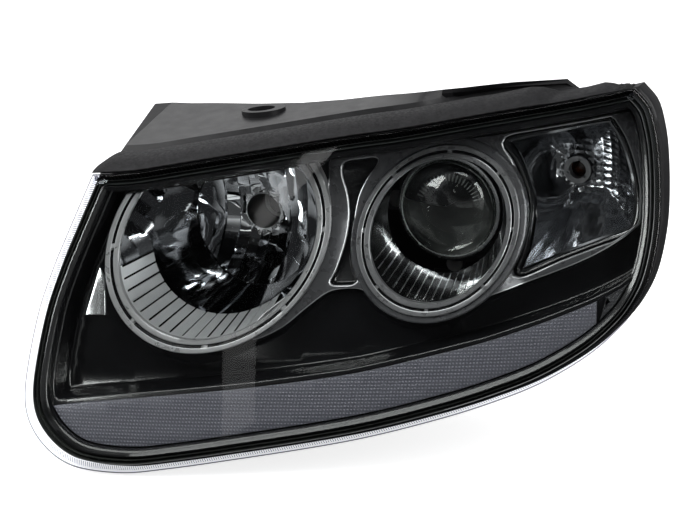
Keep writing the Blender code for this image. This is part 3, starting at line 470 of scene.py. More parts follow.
# ---- materials ----------------------------------------------------------------------------

class Nodes:
    """Adds nodes to a tree, over one kind of texture coordinates."""

    def __init__(self, tree, coordinates):
        self.tree = tree
        self.where = self.node("TexCoord").outputs[coordinates]

    def node(self, kind, **values):
        node = self.tree.nodes.new("ShaderNode" + kind)
        for key, value in values.items():
            setattr(node, key, value)
        return node

    def link(self, source, target):
        self.tree.links.new(source, target)

    def put(self, value, socket):
        """Link another node's output to a socket, or set the socket to a constant."""
        if isinstance(value, bpy.types.NodeSocket):
            self.link(value, socket)
        else:
            socket.default_value = value

    def speckle(self, scale, detail, source):
        node = self.node("TexNoise")
        node.inputs["Scale"].default_value = scale
        node.inputs["Detail"].default_value = detail
        self.link(source, node.inputs["Vector"])
        return node.outputs["Fac"]

    def spread(self, value, low=0.0, high=1.0, start=0.3, stop=0.7):
        """The stretch of a value from start to stop, spread from low to high."""
        node = self.node("MapRange")
        for name, level in (("From Min", start), ("From Max", stop), ("To Min", low),
                            ("To Max", high)):
            node.inputs[name].default_value = level
        self.link(value, node.inputs["Value"])
        return node.outputs["Result"]

    def mix(self, value, first, second):
        """The first colour, turning into the second as the value rises."""
        node = self.node("Mix", data_type="RGBA")
        for name, colour in (("A", first), ("B", second)):
            self.put((*colour, 1.0) if isinstance(colour, tuple) else colour, node.inputs[name])
        self.link(value, node.inputs["Factor"])
        return node.outputs["Result"]

    def math(self, operation, first, second=0.0):
        node = self.node("Math", operation=operation)
        self.put(first, node.inputs[0])
        self.put(second, node.inputs[1])
        return node.outputs[0]


class Look(Nodes):
    """One node material, over its object's own coordinates."""

    def __init__(self, name):
        self.material = bpy.data.materials.new(name)
        self.material.use_nodes = True
        super().__init__(self.material.node_tree, "Object")
        self.shader = self.tree.nodes["Principled BSDF"]
        self.out = self.tree.nodes["Material Output"]
        self.normal = None

    def noise(self, size, detail=3.0, stretch=None):
        """Noise whose features are about size millimetres across."""
        source = self.where
        if stretch:
            mapping = self.node("Mapping")
            mapping.inputs["Scale"].default_value = stretch
            self.link(source, mapping.inputs["Vector"])
            source = mapping.outputs["Vector"]
        return self.speckle(1.0 / (size * MM), detail, source)

    def on_entry(self, value):
        """The value where light enters the solid, and nothing where it leaves."""
        outside = self.math("SUBTRACT", 1.0, self.node("NewGeometry").outputs["Backfacing"])
        return self.math("MULTIPLY", value, outside)

    def set(self, **values):
        for key, value in values.items():
            self.shader.inputs[key.replace("_", " ")].default_value = value

    def colour(self, value, first, second):
        self.link(self.mix(value, first, second), self.shader.inputs["Base Color"])

    def roughness(self, value, low, high):
        self.link(self.spread(value, low, high), self.shader.inputs["Roughness"])

    def bump(self, height, depth):
        """Raise the surface by up to depth millimetres, on top of any earlier bump."""
        node = self.node("Bump")
        node.inputs["Distance"].default_value = depth * MM
        self.link(height, node.inputs["Height"])
        if self.normal is not None:
            self.link(self.normal, node.inputs["Normal"])
        self.normal = node.outputs["Normal"]
        self.link(self.normal, self.shader.inputs["Normal"])

    def show(self, factor, first, second):
        """Show the first shader, turning into the second as the factor rises."""
        mixer = self.node("MixShader")
        self.link(factor, mixer.inputs[0])
        self.link(first.outputs[0], mixer.inputs[1])
        self.link(second.outputs[0], mixer.inputs[2])
        self.link(mixer.outputs[0], self.out.inputs["Surface"])

    def show_pane(self, clear, roughness, ior):
        """Show a clear shader, with a little mirroring where light enters."""
        gloss = self.node("BsdfGlossy")
        self.link(roughness, gloss.inputs["Roughness"])
        fresnel = self.node("Fresnel")
        fresnel.inputs["IOR"].default_value = ior
        self.show(self.on_entry(fresnel.outputs[0]), clear, gloss)
        self.tree.nodes.remove(self.shader)


def moulded(name, dark, light, roughness, grain=0.5, depth=0.02, metallic=0.0, uneven=0.05,
            specular=0.5):
    """Moulded or painted surface with uneven colour, uneven gloss and a fine grain."""
    look = Look(name)
    look.colour(look.spread(look.noise(18.0, 4.0)), dark, light)
    look.roughness(look.noise(9.0, 5.0), roughness - uneven, roughness + uneven)
    look.set(Metallic=metallic, Specular_IOR_Level=specular)
    look.bump(look.noise(grain, 2.0), depth)
    return look.material


def metallised(name, colour, roughness, ripple=0.02, haze=0.03):
    """Mirror coating on a moulded part: slight ripple, and patches of haze."""
    look = Look(name)
    look.set(Metallic=1.0)
    look.colour(look.spread(look.noise(25.0)), colour, tuple(value * 0.94 for value in colour))
    look.roughness(look.noise(12.0, 2.0), roughness, roughness + haze)
    look.bump(look.noise(7.0, 2.0), ripple)
    return look.material


def brushed(name, colour, roughness):
    """Plated steel with fine turning marks."""
    look = Look(name)
    look.set(Metallic=1.0)
    streak = look.noise(0.4, 3.0, (1.0, 0.1, 1.0))
    look.colour(look.spread(look.noise(5.0, 5.0)), colour, tuple(value * 0.8 for value in colour))
    look.roughness(streak, roughness - 0.08, roughness + 0.1)
    look.bump(streak, 0.01)
    return look.material


def pane(name, colour, ior):
    """Clear cover: lets the light straight through, and mirrors a little at its surface."""
    look = Look(name)
    clear = look.node("BsdfTransparent")
    clear.inputs["Color"].default_value = (*colour, 1.0)
    look.show_pane(clear, look.spread(look.noise(30.0, 4.0), 0.0, 0.05), ior)
    return look.material


def rim_band(name, pale, dark):
    """Clear rim seen edge on, its see-through colour darker where it turns away: painted shade.
    """
    look = Look(name)
    clear = look.node("BsdfTransparent")
    facing = look.node("LayerWeight")
    facing.inputs["Blend"].default_value = 0.45
    turned_away = look.spread(facing.outputs["Facing"], 0.0, 1.0, 0.25, 0.9)
    look.link(look.mix(turned_away, pale, dark), clear.inputs["Color"])
    look.show_pane(clear, look.spread(look.noise(20.0), 0.02, 0.1), 1.3)
    return look.material


def clear_solid(name, colour, roughness=0.0, ior=1.49):
    """Clear plastic or glass that bends light, and lets lamps through it."""
    look = Look(name)
    look.set(Transmission_Weight=1.0, IOR=ior, Base_Color=(*colour, 1.0))
    look.roughness(look.noise(3.0, 4.0), roughness, roughness + 0.004)
    clear = look.node("BsdfTransparent")
    clear.inputs["Color"].default_value = (*[value * 0.9 for value in colour], 1.0)
    look.show(look.node("LightPath").outputs["Is Shadow Ray"], look.shader, clear)
    return look.material


DOT_PITCH = 2.2


def dotted(name, dark, light):
    """Grey insert with a fine grid of small square domes, coloured darker between them: painted
    shade.
    """
    look = Look(name)
    split = look.node("SeparateXYZ")
    look.link(look.where, split.inputs[0])
    waves = []
    for axis in ("X", "Z"):
        angle = look.math("MULTIPLY", split.outputs[axis], 2 * math.pi / (DOT_PITCH * MM))
        waves.append(look.spread(look.math("SINE", angle), 0.0, 1.0, -0.35, 0.75))
    height = look.math("MULTIPLY", waves[0], waves[1])
    # the colour follows the height: darker between the domes, a painted shade in the hollows
    look.colour(height, dark, light)
    look.roughness(look.noise(8.0, 4.0), 0.28, 0.4)
    look.set(Metallic=0.25)
    look.bump(height, 0.25)
    return look.material


def foam(name, dark, light):
    """Closed-cell foam: a dull skin with open pores."""
    look = Look(name)
    look.colour(look.spread(look.noise(5.0, 5.0)), dark, light)
    look.roughness(look.noise(2.0, 4.0), 0.5, 0.75)
    look.set(Specular_IOR_Level=0.2)
    pores = look.node("TexVoronoi")
    pores.inputs["Scale"].default_value = 1.0 / (0.8 * MM)
    look.link(look.where, pores.inputs["Vector"])
    look.bump(look.spread(pores.outputs["Distance"], 0.0, 1.0, 0.0, 0.5), 0.06)
    look.bump(look.noise(3.0, 5.0), 0.15)
    return look.material


# What each look is made by, and the values that go in after its name.
LOOK_TABLE = {
    "cover_pane": (pane, (0.975, 0.985, 0.98), 1.40),
    "cover_rim": (rim_band, (0.93, 0.94, 0.96), (0.32, 0.34, 0.36)),
    # darker see-through look for the lens' rounded outer edge and alternate rib faces: painted
    # shade
    "cover_rib": (rim_band, (0.30, 0.30, 0.33), (0.1, 0.1, 0.12)),
    "cover_leg": (moulded, (0.016, 0.017, 0.016), (0.026, 0.028, 0.026), 0.2, 4.0, 0.002),
    "lens_glass": (clear_solid, (0.95, 0.98, 0.96), 0.0, 1.52),
    "amber": (clear_solid, (0.75, 0.2, 0.05), 0.02, 1.5),
    "gloss_black": (moulded, (0.003, 0.003, 0.0034), (0.004, 0.004, 0.0045), 0.13, 4.0, 0.001,
                    0.0, 0.01),
    "shell_black": (moulded, (0.006, 0.006, 0.0065), (0.011, 0.011, 0.012), 0.4, 0.45, 0.02,
                    0.0, 0.04, 0.25),
    "cap_black": (moulded, (0.014, 0.014, 0.015), (0.026, 0.026, 0.028), 0.5, 0.4, 0.04),
    "satin_grey": (moulded, (0.27, 0.27, 0.275), (0.30, 0.30, 0.305), 0.3, 3.0, 0.002, 0.6),
    # the high ring's grey made darker for the low ring: painted shade, the same material less lit
    "ring_grey": (moulded, (0.12, 0.12, 0.125), (0.14, 0.14, 0.145), 0.3, 3.0, 0.002, 0.6),
    "panel_grey": (moulded, (0.055, 0.055, 0.059), (0.065, 0.065, 0.069), 0.28, 3.0, 0.002, 0.6,
                   0.02),
    "socket_grey": (moulded, (0.12, 0.12, 0.125), (0.16, 0.16, 0.165), 0.45),
    "dark_metal": (moulded, (0.012, 0.012, 0.013), (0.02, 0.02, 0.02), 0.35, 0.4, 0.01, 0.4),
    "rubber": (moulded, (0.012, 0.012, 0.012), (0.02, 0.02, 0.02), 0.7, 0.6, 0.03),
    "white_plastic": (moulded, (0.62, 0.61, 0.57), (0.7, 0.69, 0.66), 0.42, 0.8, 0.01),
    # lighter metal for the rounded edges of the rings and the panel: a painted highlight
    "edge_silver": (metallised, (0.34, 0.34, 0.35), 0.3, 0.002, 0.04),
    "chrome": (metallised, (0.84, 0.85, 0.87), 0.02, 0.003),
    "facet_chrome": (metallised, (0.55, 0.56, 0.58), 0.1, 0.003, 0.05),
    "satin_silver": (metallised, (0.66, 0.67, 0.68), 0.24, 0.002, 0.04),
    "liner_silver": (metallised, (0.82, 0.83, 0.84), 0.4, 0.002, 0.05),
    "dark_chrome": (metallised, (0.2, 0.2, 0.21), 0.1, 0.004, 0.05),
    "cast_shell": (brushed, (0.5, 0.5, 0.5), 0.42),
    "steel": (brushed, (0.62, 0.62, 0.61), 0.32),
    "dotted": (dotted, (0.06, 0.06, 0.073), (0.105, 0.105, 0.128)),
    "dotted_dark": (dotted, (0.012, 0.012, 0.014), (0.03, 0.03, 0.035)),
    "foam": (foam, (0.003, 0.003, 0.0035), (0.008, 0.008, 0.009)),
}
LOOKS = {name: maker(name, *values) for name, (maker, *values) in LOOK_TABLE.items()}


# ---- front --------------------------------------------------------------------------------

FIN_WIDTH = 5.0
LEG_INNER = 7.0
LEG_END = 25.0
RIB_DEPTH = 0.35
RIB_SHIFT = 2                         # columns that a rib slants over
LIP_BACK = 14.1                       # where the bezel's lip ends, behind the lens
LIP_INSET = 12.2
COVE_INSET = 14.2
CLIP_INSET = 15.8
PLATE_THICK = 2.4                     # of the bezel and the panel


def build_cover():
    """Clear cover. Its rim is a flat fin with fine slanting ribs on the back, and a leg."""
    outline = lens_outline(280, 1000)
    count = len(outline)
    steps = (0.004, 0.1, 0.2, 0.3, 0.4, 0.5, 0.6, 0.7, 0.8, 0.88, 0.93)
    face = [lifted(scaled(outline, step), behind_lens(0)) for step in steps]
    rim = [(LEG_INNER, 0), (FIN_WIDTH, 0), (1.2, 0), (0.5, 0.15), (0.12, 0.5), (0, 1.1),
           (0, 2.9), (0.15, 3.3), (0.5, LENS_THICK), (0.9, LENS_THICK)]
    loops = face + set_back(outline, rim)
    slant = shifted(outline, RIB_SHIFT)
    for loop, side in ((outline, 1.2), (slant, 4.3)):
        ribbed = lifted(inset(loop, side), behind_lens(LENS_THICK))
        loops.append([(x, y - RIB_DEPTH * (k % 2), z) for k, (x, y, z) in enumerate(ribbed)])
    leg = [(4.6, LENS_THICK), (FIN_WIDTH, LENS_THICK + 0.4), (FIN_WIDTH, LEG_END - 0.4),
           (5.3, LEG_END), (6.7, LEG_END), (LEG_INNER, LEG_END - 0.4),
           (LEG_INNER, LENS_THICK + 0.5), (LEG_INNER + 0.5, LENS_THICK)]
    loops += set_back(slant, leg)
    last_rim = len(loops) - 1
    loops += [lifted(scaled(slant, step), behind_lens(LENS_THICK)) for step in steps[::-1]]
    cover = loft("cover", loops, LOOKS["cover_pane"], crease=40.0)
    for look in ("cover_rim", "cover_leg", "cover_rib"):
        cover.data.materials.append(LOOKS[look])
    first_rim, first_leg = len(face), last_rim - len(leg) + 1
    paint(cover, count, range(first_rim, first_leg), 1)
    paint(cover, count, range(first_leg, last_rim), 2)
    # the rounded front edge and alternate faces of the ribs get the darker rib look: painted
    # shade
    paint(cover, count, range(first_rim + 2, first_rim + 5), 3)
    paint(cover, count, [first_leg - 2], 3, lambda k: k % 2)
    return settle(cover, "housing_body", "clear_lens", "outer_lens")


def clipped(loop, centre, fence):
    """The loop with each point that lies outside the fence drawn in towards the centre."""
    kept = []
    for point in loop:
        if inside(point, fence):
            kept.append(point)
            continue
        low, high = 0.0, 1.0
        for _ in range(24):
            middle = (low + high) / 2
            spot = (centre[0] + (point[0] - centre[0]) * middle,
                    centre[1] + (point[1] - centre[1]) * middle)
            low, high = (middle, high) if inside(spot, fence) else (low, middle)
        kept.append((centre[0] + (point[0] - centre[0]) * low,
                     centre[1] + (point[1] - centre[1]) * low))
    return kept


def trim_to_cove(piece):
    """Cut off what of a round piece would reach past the bezel's cove."""
    fence = inset(lens_outline(40, 120), CLIP_INSET)
    prism = loft("cove", [lifted(fence, flat(-70)), lifted(fence, flat(270))], None)
    boolean(piece, [prism], "INTERSECT")
    return piece


def cove_edge(outline):
    """Where the bezel steps back: near the rim, but above the dotted strip at the bottom."""
    shelf = [(-212.0, -94.0)] + [(x, z + 3.0) for x, z in STRIP_TOP] + [(204.0, 8.0)]
    fence = shelf + [(260.0, 160.0), (-260.0, 160.0)]
    return clipped(inset(outline, COVE_INSET), LENS_CENTRE, fence)


def build_bezel():
    """Black tray with a broad lip, a shelf for the strip, and openings for the optics."""
    outline = lens_outline(64, 190)
    edge = cove_edge(outline)
    floor = inset(edge, 3.6)
    well = [(3.6, BEZEL_FLOOR), (2.6, BEZEL_FLOOR - 0.7), (1.9, BEZEL_FLOOR - 3.0), (0.7, 16.4),
            (0.2, LIP_BACK + 0.7), (-0.7, LIP_BACK)]
    lip = [(LIP_INSET + 0.9, LIP_BACK), (LIP_INSET + 0.6, 9.0), (LIP_INSET, 7.6),
           (LIP_INSET - 1.0, 7.0), (9.4, 5.6), (8.7, 5.7), (8.4, 6.4), (8.4, 16.8)]
    rim = set_back(edge, well) + set_back(outline, lip) + set_back(edge, [(-PLATE_THICK, 16.9)])
    rim += set_back(floor, [(-PLATE_THICK, BEZEL_FLOOR + PLATE_THICK)])
    fence = inset(floor, 1.2)
    high = clipped(circle(HIGH_X, HIGH_Z, HIGH_RING_R + 2.0, 120), (HIGH_X, HIGH_Z), fence)
    low = clipped(circle(LOW_RING_X, LOW_RING_Z, LOW_RING_R + 1.7, 100),
                  (LOW_RING_X, LOW_RING_Z), fence)
    window = clipped(closed_curve(TURN_WINDOW, 100)[::-1], (TURN_X, TURN_Z - 10.0), fence)
    bezel = plate("tray", floor, [high, low, window], behind_lens(BEZEL_FLOOR),
                  behind_lens(BEZEL_FLOOR + PLATE_THICK), LOOKS["gloss_black"], 7.0, 0.6, rim)
    return settle(bezel, "housing_body", "gloss_black", "bezel")


TAB_PITCH = 45.0                      # degrees between the tabs across a ring's groove
TAB_HALF = 1.3


def ring_profile(x, z, y, slope, radius, groove):
    """A trim ring's section: two rims with a groove between them, and a tube behind."""
    front = tilted(x, z, y, slope)

    def down(step):
        return tilted(x, z, y + step, slope)

    inner, outer = radius - RING_HALF, radius + RING_HALF
    foot = behind_lens(BEZEL_FLOOR - 0.8)
    return [(inner, down(0.7)), (inner + 0.5, front), (radius - groove - 0.4, front),
            (radius - groove, down(0.3)), (radius - groove, down(2.0)),
            (radius + groove, down(2.0)), (radius + groove, down(0.3)),
            (radius + groove + 0.4, front), (outer - 0.6, front), (outer, down(0.8)),
            (outer, foot), (outer - 2.4, foot), (outer - 2.4, down(3.2)), (inner, down(3.2))]


def build_ring(name, x, z, y, slope, radius, groove, first_tab, look):
    """A trim ring whose groove is bridged by eight small tabs."""
    columns = 320

    def from_tab(k):
        """Length of ring between column k and the nearest tab's middle."""
        turn = (360.0 * k / columns - first_tab) % TAB_PITCH
        return min(turn, TAB_PITCH - turn) * math.radians(1) * radius

    profile = ring_profile(x, z, y, slope, radius, groove)
    tab_levels = {3, 4, 5, 6}
    loops = []
    for index, (reach, depth) in enumerate(profile):
        loop = []
        for k, (px, pz) in enumerate(circle(x, z, reach, columns)):
            raised = index in tab_levels and from_tab(k) < TAB_HALF
            py = tilted(x, z, y + 0.35, slope)(px, pz) if raised else depth(px, pz)
            loop.append((px, min(py, behind_lens(BEZEL_FLOOR)(px, pz)), pz))
        loops.append(loop)
    piece = loft(name, loops, look, ring=True, crease=30.0)
    piece.data.materials.append(LOOKS["gloss_black"])
    # the rims' rounded edges (levels 0, 2, 6 and 8) get a lighter metal look: a painted highlight
    piece.data.materials.append(LOOKS["edge_silver"])
    paint(piece, columns, (0, 2, 6, 8), 2)
    # the groove's walls and floor, between the tabs, get the gloss black look: painted shade in
    # the groove
    paint(piece, columns, (3, 4, 5), 1, lambda k: from_tab(k + 0.5) > TAB_HALF + 0.3)
    return piece


def segment_distance(point, first, second):
    along = Vector(second) - Vector(first)
    part = (Vector(point) - Vector(first)).dot(along) / max(along.length_squared, 1e-9)
    return (Vector(point) - Vector(first) - along * min(max(part, 0.0), 1.0)).length


def panel_depth(x, z):
    """Depth of the panel: near each ring it lies in the ring's plane, else behind the lens."""
    to_high = max(math.dist((x, z), (HIGH_X, HIGH_Z)) - HIGH_RING_R - RING_HALF, 0.0)
    to_low = max(math.dist((x, z), (LOW_RING_X, LOW_RING_Z)) - LOW_RING_R - RING_HALF, 0.0)
    to_window = min(segment_distance((x, z), first, second)
                    for first, second in zip(TURN_WINDOW, TURN_WINDOW[1:] + TURN_WINDOW[:1]))
    depths = (tilted(HIGH_X, HIGH_Z, HIGH_RING_Y + 2.2, HIGH_RING_SLOPE)(x, z),
              tilted(LOW_RING_X, LOW_RING_Z, LOW_RING_Y + 4.0, LOW_RING_SLOPE)(x, z),
              lens_depth(x, z) + 23.5)
    weights = [1.0 / (gap * gap + 4.0) for gap in (to_high, to_low, to_window)]
    depth = sum(w * d for w, d in zip(weights, depths)) / sum(weights)
    return min(depth, lens_depth(x, z) + BEZEL_FLOOR - 3.0)


def build_panel():
    """Satin panel that joins the rings and runs on round the turn signal."""
    fence = inset(lens_outline(64, 190), COVE_INSET + 2.6)
    edge = clipped(closed_curve(PANEL_EDGE, 260), (45.0, 25.0), fence)
    pocket = closed_curve(POCKET, 110)[::-1]
    low = circle(LOW_RING_X, LOW_RING_Z, LOW_RING_R + 2.8, 100)
    window = inset(closed_curve(TURN_WINDOW, 120), -2.4)[::-1]
    window = clipped(window, (TURN_X, TURN_Z - 10.0), inset(edge, 2.0))
    # the panel's rounded edges take the lighter edge look: a painted highlight
    return plate("panel", edge, [pocket, low, window], panel_depth,
                 lambda x, z: panel_depth(x, z) + PLATE_THICK, LOOKS["panel_grey"], 5.0, 0.9,
                 edge_highlight_look=LOOKS["edge_silver"])


def build_collar():
    """Raised collar round the low beam's ring."""
    def down(step):
        return tilted(LOW_RING_X, LOW_RING_Z, LOW_RING_Y + step, LOW_RING_SLOPE)

    profile = [(54.6, down(2.2)), (58.6, down(1.6)), (59.6, down(2.4)), (60.0, down(7.0)),
               (54.6, down(7.0))]
    return turned("collar", LOW_RING_X, LOW_RING_Z, profile, 160, LOOKS["panel_grey"])


def build_pocket():
    """Black cup behind the pocket in the panel."""
    loop = inset(closed_curve(POCKET, 110), -0.3)

    def deep(step):
        return lambda x, z: panel_depth(x, z) + step

    inner = [lifted(inset(loop, 0.2), deep(1.2)), lifted(inset(loop, 0.9), deep(5.4)),
             lifted(inset(loop, 1.6), deep(6.0))]
    outer = [lifted(inset(loop, 1.6), deep(7.2)), lifted(inset(loop, -0.9), deep(6.4)),
             lifted(inset(loop, -0.9), deep(2.8)), lifted(inset(loop, 0.0), deep(2.6))]
    return loft("pocket_cup", outer + inner, LOOKS["gloss_black"])


def build_tab():
    """Small bright gusset beside the high beam's ring."""
    corners = [(-171.0, -8.0), (-166.5, -14.0), (-163.5, -26.0), (-161.0, -37.5),
               (-173.5, -37.0)]
    front, back = (tilted(HIGH_X, HIGH_Z, HIGH_RING_Y + down, HIGH_RING_SLOPE)
                   for down in (3.0, 5.0))
    return plate("gusset", corners, [], front, back, LOOKS["satin_silver"], 6.0, 0.4)


def build_spectacles():
    """Both rings, the panel between them and what is set in it."""
    first = build_ring("high_ring", HIGH_X, HIGH_Z, HIGH_RING_Y, HIGH_RING_SLOPE, HIGH_RING_R,
                       1.0, 4.0, LOOKS["satin_grey"])
    settle(trim_to_cove(first), "housing_body", "grey_trim", "ring_trim")
    second = build_ring("low_ring", LOW_RING_X, LOW_RING_Z, LOW_RING_Y, LOW_RING_SLOPE,
                        LOW_RING_R, 0.9, 2.0, LOOKS["ring_grey"])
    for piece in (second, build_panel(), build_collar(), build_tab()):
        settle(piece, "housing_body", "grey_trim")
    settle(build_pocket(), "housing_body", "gloss_black")


def build_window_frame():
    """Black wall round the turn signal's window."""
    window = closed_curve(TURN_WINDOW, 140)
    profile = [(-2.2, 26.4), (-1.6, 25.4), (-0.6, 25.0), (0.2, 25.6), (0.8, 28.0), (1.6, 33.0),
               (1.6, 36.0), (-2.2, 36.0)]
    wall = loft("window_frame", set_back(window, profile), LOOKS["gloss_black"], ring=True)
    return settle(wall, "housing_body", "gloss_black")


def build_strip():
    """Dotted insert and its darker outboard end, each with a fine raised edge."""
    rim = inset(smooth_run(LOWER_EDGE, 400), LIP_INSET + 1.6)[::-1]
    upper = smooth_run(STRIP_TOP, 120)
    start, stop = upper[0][0], upper[-1][0]
    foot = [(x, z) for x, z in rim if start <= x <= stop and between(upper, x) - z > 0.9]
    for name, low, high, look in (("dotted_strip", start, STRIP_SPLIT - 0.4, "dotted"),
                                  ("strip_end", STRIP_SPLIT + 0.4, stop, "dotted_dark")):
        top = [Vector(point) for point in upper if low <= point[0] <= high]
        bottom = [Vector(point) for point in foot if low <= point[0] <= high]
        if bottom[0].x < bottom[-1].x:
            bottom.reverse()
        strip = plate(name, even_run(top, 90) + even_run(bottom, 90), [], behind_lens(11.5),
                      behind_lens(13.6), LOOKS[look], 6.0, 0.5)
        settle(strip, "housing_body", "dotted_grey",
               *(["lower_strip"] if look == "dotted" else []))


# ---- optics -------------------------------------------------------------------------------

GROOVE_ANGLE = 1.2
LINER_GAP = 3.4                       # from a ring's face back to its liner


def in_sector(angle, first, last):
    return (angle - first) % 360.0 <= (last - first) % 360.0


def build_liner(name, rows, ribs, sector, depth, looks):
    """A ring's conical liner, with grooves between flat ribs over a sector.

    rows are (x, z, radius, depth function, share of the groove's depth). looks are those of
    the ribs, of the plain rest and of the grooves. The grooves' look stands in for their shading:
    a painted shade where it is black, a painted highlight where it is light.
    """
    columns = 1080
    first, last = sector
    pitch = (last - first) / ribs

    def grooved(angle):
        return in_sector(angle, first, last) and (angle - first) % pitch < GROOVE_ANGLE

    loops = []
    for x, z, radius, back, share in rows:
        loop = []
        for k, (px, pz) in enumerate(circle(x, z, radius, columns)):
            cut = share if grooved(360.0 * k / columns) else 0.0
            out = 1.0 + depth * cut / radius
            loop.append((x + (px - x) * out, back(px, pz), z + (pz - z) * out))
        loops.append(loop)
    liner = loft(name, loops, LOOKS[looks[0]], ring=True, crease=24.0)
    for look in looks[1:]:
        liner.data.materials.append(LOOKS[look])
    cut_levels = [level for level, row in enumerate(rows) if row[4] > 0.0]
    paint(liner, columns, range(len(rows)), 1,
          lambda k: not in_sector(360.0 * (k + 0.5) / columns, first, last))
    paint(liner, columns, cut_levels, 2, lambda k: grooved(360.0 * (k + 0.5) / columns))
    return liner


def liner_rows(start, stop, start_disc, stop_disc, wall=1.4):
    """Rows from the ring's plane down to the inner mouth, then back up outside."""
    (x1, z1, r1), (x2, z2, r2) = start_disc, stop_disc
    rows = []
    for part, share in ((0.0, 0.0), (0.06, 0.0), (0.09, 1.0), (0.5, 1.0), (0.97, 1.0),
                        (1.0, 1.0)):
        rows.append((x1 + (x2 - x1) * part, z1 + (z2 - z1) * part, r1 + (r2 - r1) * part,
                     blend(start, stop, part), share))
    rows.append((x2, z2, r2 + wall, stop, 0.0))
    rows.append((x1, z1, r1 + wall + 0.6, lambda x, z: start(x, z) + 1.2, 0.0))
    return rows


def build_liners():
    start = tilted(HIGH_X, HIGH_Z, HIGH_RING_Y + LINER_GAP, HIGH_RING_SLOPE)
    stop = tilted(HIGH_X, HIGH_Z, HIGH_CONE_Y - 1.5, HIGH_CONE_SLOPE)
    rows = liner_rows(start, stop, (HIGH_X, HIGH_Z, 64.0), (HIGH_X, HIGH_Z, 56.9))
    # the grooves get the gloss black look: painted shade in them
    high = build_liner("high_liner", rows, 15, (196.0, 312.0), 0.9,
                       ("liner_silver", "chrome", "gloss_black"))
    settle(trim_to_cove(high), "housing_body", "satin_metal", "high_beam_cone")
    start = tilted(LOW_RING_X, LOW_RING_Z, LOW_RING_Y + LINER_GAP, LOW_RING_SLOPE)
    stop_x, stop_z = LOW_X + 0.4, LOW_Z - 1.0
    stop = tilted(stop_x, stop_z, LOW_RING_Y + 26.0, (0.10, 0.20))
    rows = liner_rows(start, stop, (LOW_RING_X, LOW_RING_Z, 46.6), (stop_x, stop_z, 42.0))
    # the grooves get a light satin silver look: painted highlight lines where the rib edges catch
    # light
    low = build_liner("low_liner", rows, 20, (208.0, 352.0), 0.8,
                      ("dark_chrome", "dark_chrome", "satin_silver"))
    settle(low, "housing_body", "dark_metal", "low_beam_cone")


MOUTH_Y = HIGH_CONE_Y + 3.0
STRIPS = (-60.0, -26.0, -17.5, -9.5, -2.0, 5.0, 13.0, 21.5, 31.0, 41.0, 60.0)
RIDGE = (7.0, 3.0, 48.5)              # ridge circle's middle from the bulb, and its radius
RIDGE_RISE = 2.2
FACET_PITCH = 26.0                    # height of a pair of facets in an upright strip
STEP = 0.15
COLLAR = 1.4                          # flat ring round the bulb's hole


def high_bowl(x, z):
    """Depth of the smooth high-beam bowl."""
    mouth = tilted(HIGH_X, HIGH_Z, MOUTH_Y, HIGH_CONE_SLOPE)
    reach = min(math.dist((x, z), (HIGH_X, HIGH_Z)), HIGH_MOUTH_R)
    reach = max(reach, HIGH_BULB_R)
    part = (HIGH_MOUTH_R ** 2 - reach ** 2) / (HIGH_MOUTH_R ** 2 - HIGH_BULB_R ** 2)
    return blend(mouth, flat(HIGH_BULB_Y), part)(x, z)


def high_facets(x, z):
    """Depth of the faceted inner bowl: upright strips, each turned a little its own way."""
    dx, dz = x - HIGH_X, z - HIGH_Z
    strip = min(sum(start <= dx for start in STRIPS[1:]), len(STRIPS) - 2)
    middle = HIGH_X + (STRIPS[strip] + STRIPS[strip + 1]) / 2
    turn = math.sin(strip * 2.4 + 0.6) * 0.12
    lean = 0.15 if 1 < strip < 6 else 0.04
    zigzag = abs((dz / FACET_PITCH + strip * 0.37) % 1.0 - 0.5) * FACET_PITCH
    slope = (high_bowl(middle + 1, z) - high_bowl(middle - 1, z)) / 2
    depth = high_bowl(middle, z) + (slope * 0.85 + turn) * (x - middle) + lean * zigzag
    if math.hypot(dx, dz) < HIGH_BULB_R + COLLAR + 0.1:
        return HIGH_BULB_Y - 0.8
    return min(depth, HIGH_BULB_Y - 0.2)


def strip_lines(x, edges, reach_x, reach_z, radius):
    """Pairs of upright lines just either side of each strip's edge, inside the ridge."""
    lines = []
    for edge in edges[1:-1]:
        for side in (-STEP, STEP):
            px = x + edge + side
            half = math.sqrt(max(radius ** 2 - (px - reach_x) ** 2, 0.0)) - 0.6
            if half < 4.0:
                continue
            lines.append([(px, reach_z - half + 2 * half * k / 30) for k in range(31)])
    return lines


def outside_collar(line):
    """The one or two parts of a line that lie clear of the bulb hole's collar."""
    parts = [[]]
    for point in line:
        if math.dist(point, (HIGH_X, HIGH_Z)) > HIGH_BULB_R + COLLAR + 0.3:
            parts[-1].append(point)
        elif parts[-1]:
            parts.append([])
    return [part for part in parts if len(part) > 1]


def bowl_band(ridge, mouth):
    """The bowl's smooth outer band, as loops from the ridge out to the mouth."""
    band = []
    for part in (0.0, 0.12, 0.3, 0.55, 0.8, 1.0):
        loop = [(mx * part + rx * (1 - part), mz * part + rz * (1 - part))
                for (mx, mz), (rx, rz) in zip(mouth, ridge)]
        band.append([(x, high_bowl(x, z) - RIDGE_RISE * (1 - part), z) for x, z in loop])
    return band


def bowl_back(columns):
    """The bowl's outside, as loops from the mouth back to the bulb's seat."""
    back = []
    for reach, y in ((HIGH_MOUTH_R + 1.9, MOUTH_Y), (55.0, 103.0), (42.0, 122.0), (26.0, 136.0),
                     (16.0, 141.6), (16.0, HIGH_SEAT_Y), (HIGH_BULB_R, HIGH_SEAT_Y)):
        part = min((y - MOUTH_Y) / (HIGH_BULB_Y - MOUTH_Y), 1.0)
        slanted = tilted(HIGH_X, HIGH_Z, y, HIGH_CONE_SLOPE)
        back.append(lifted(circle(HIGH_X, HIGH_Z, reach, columns), blend(slanted, flat(y), part)))
    return back


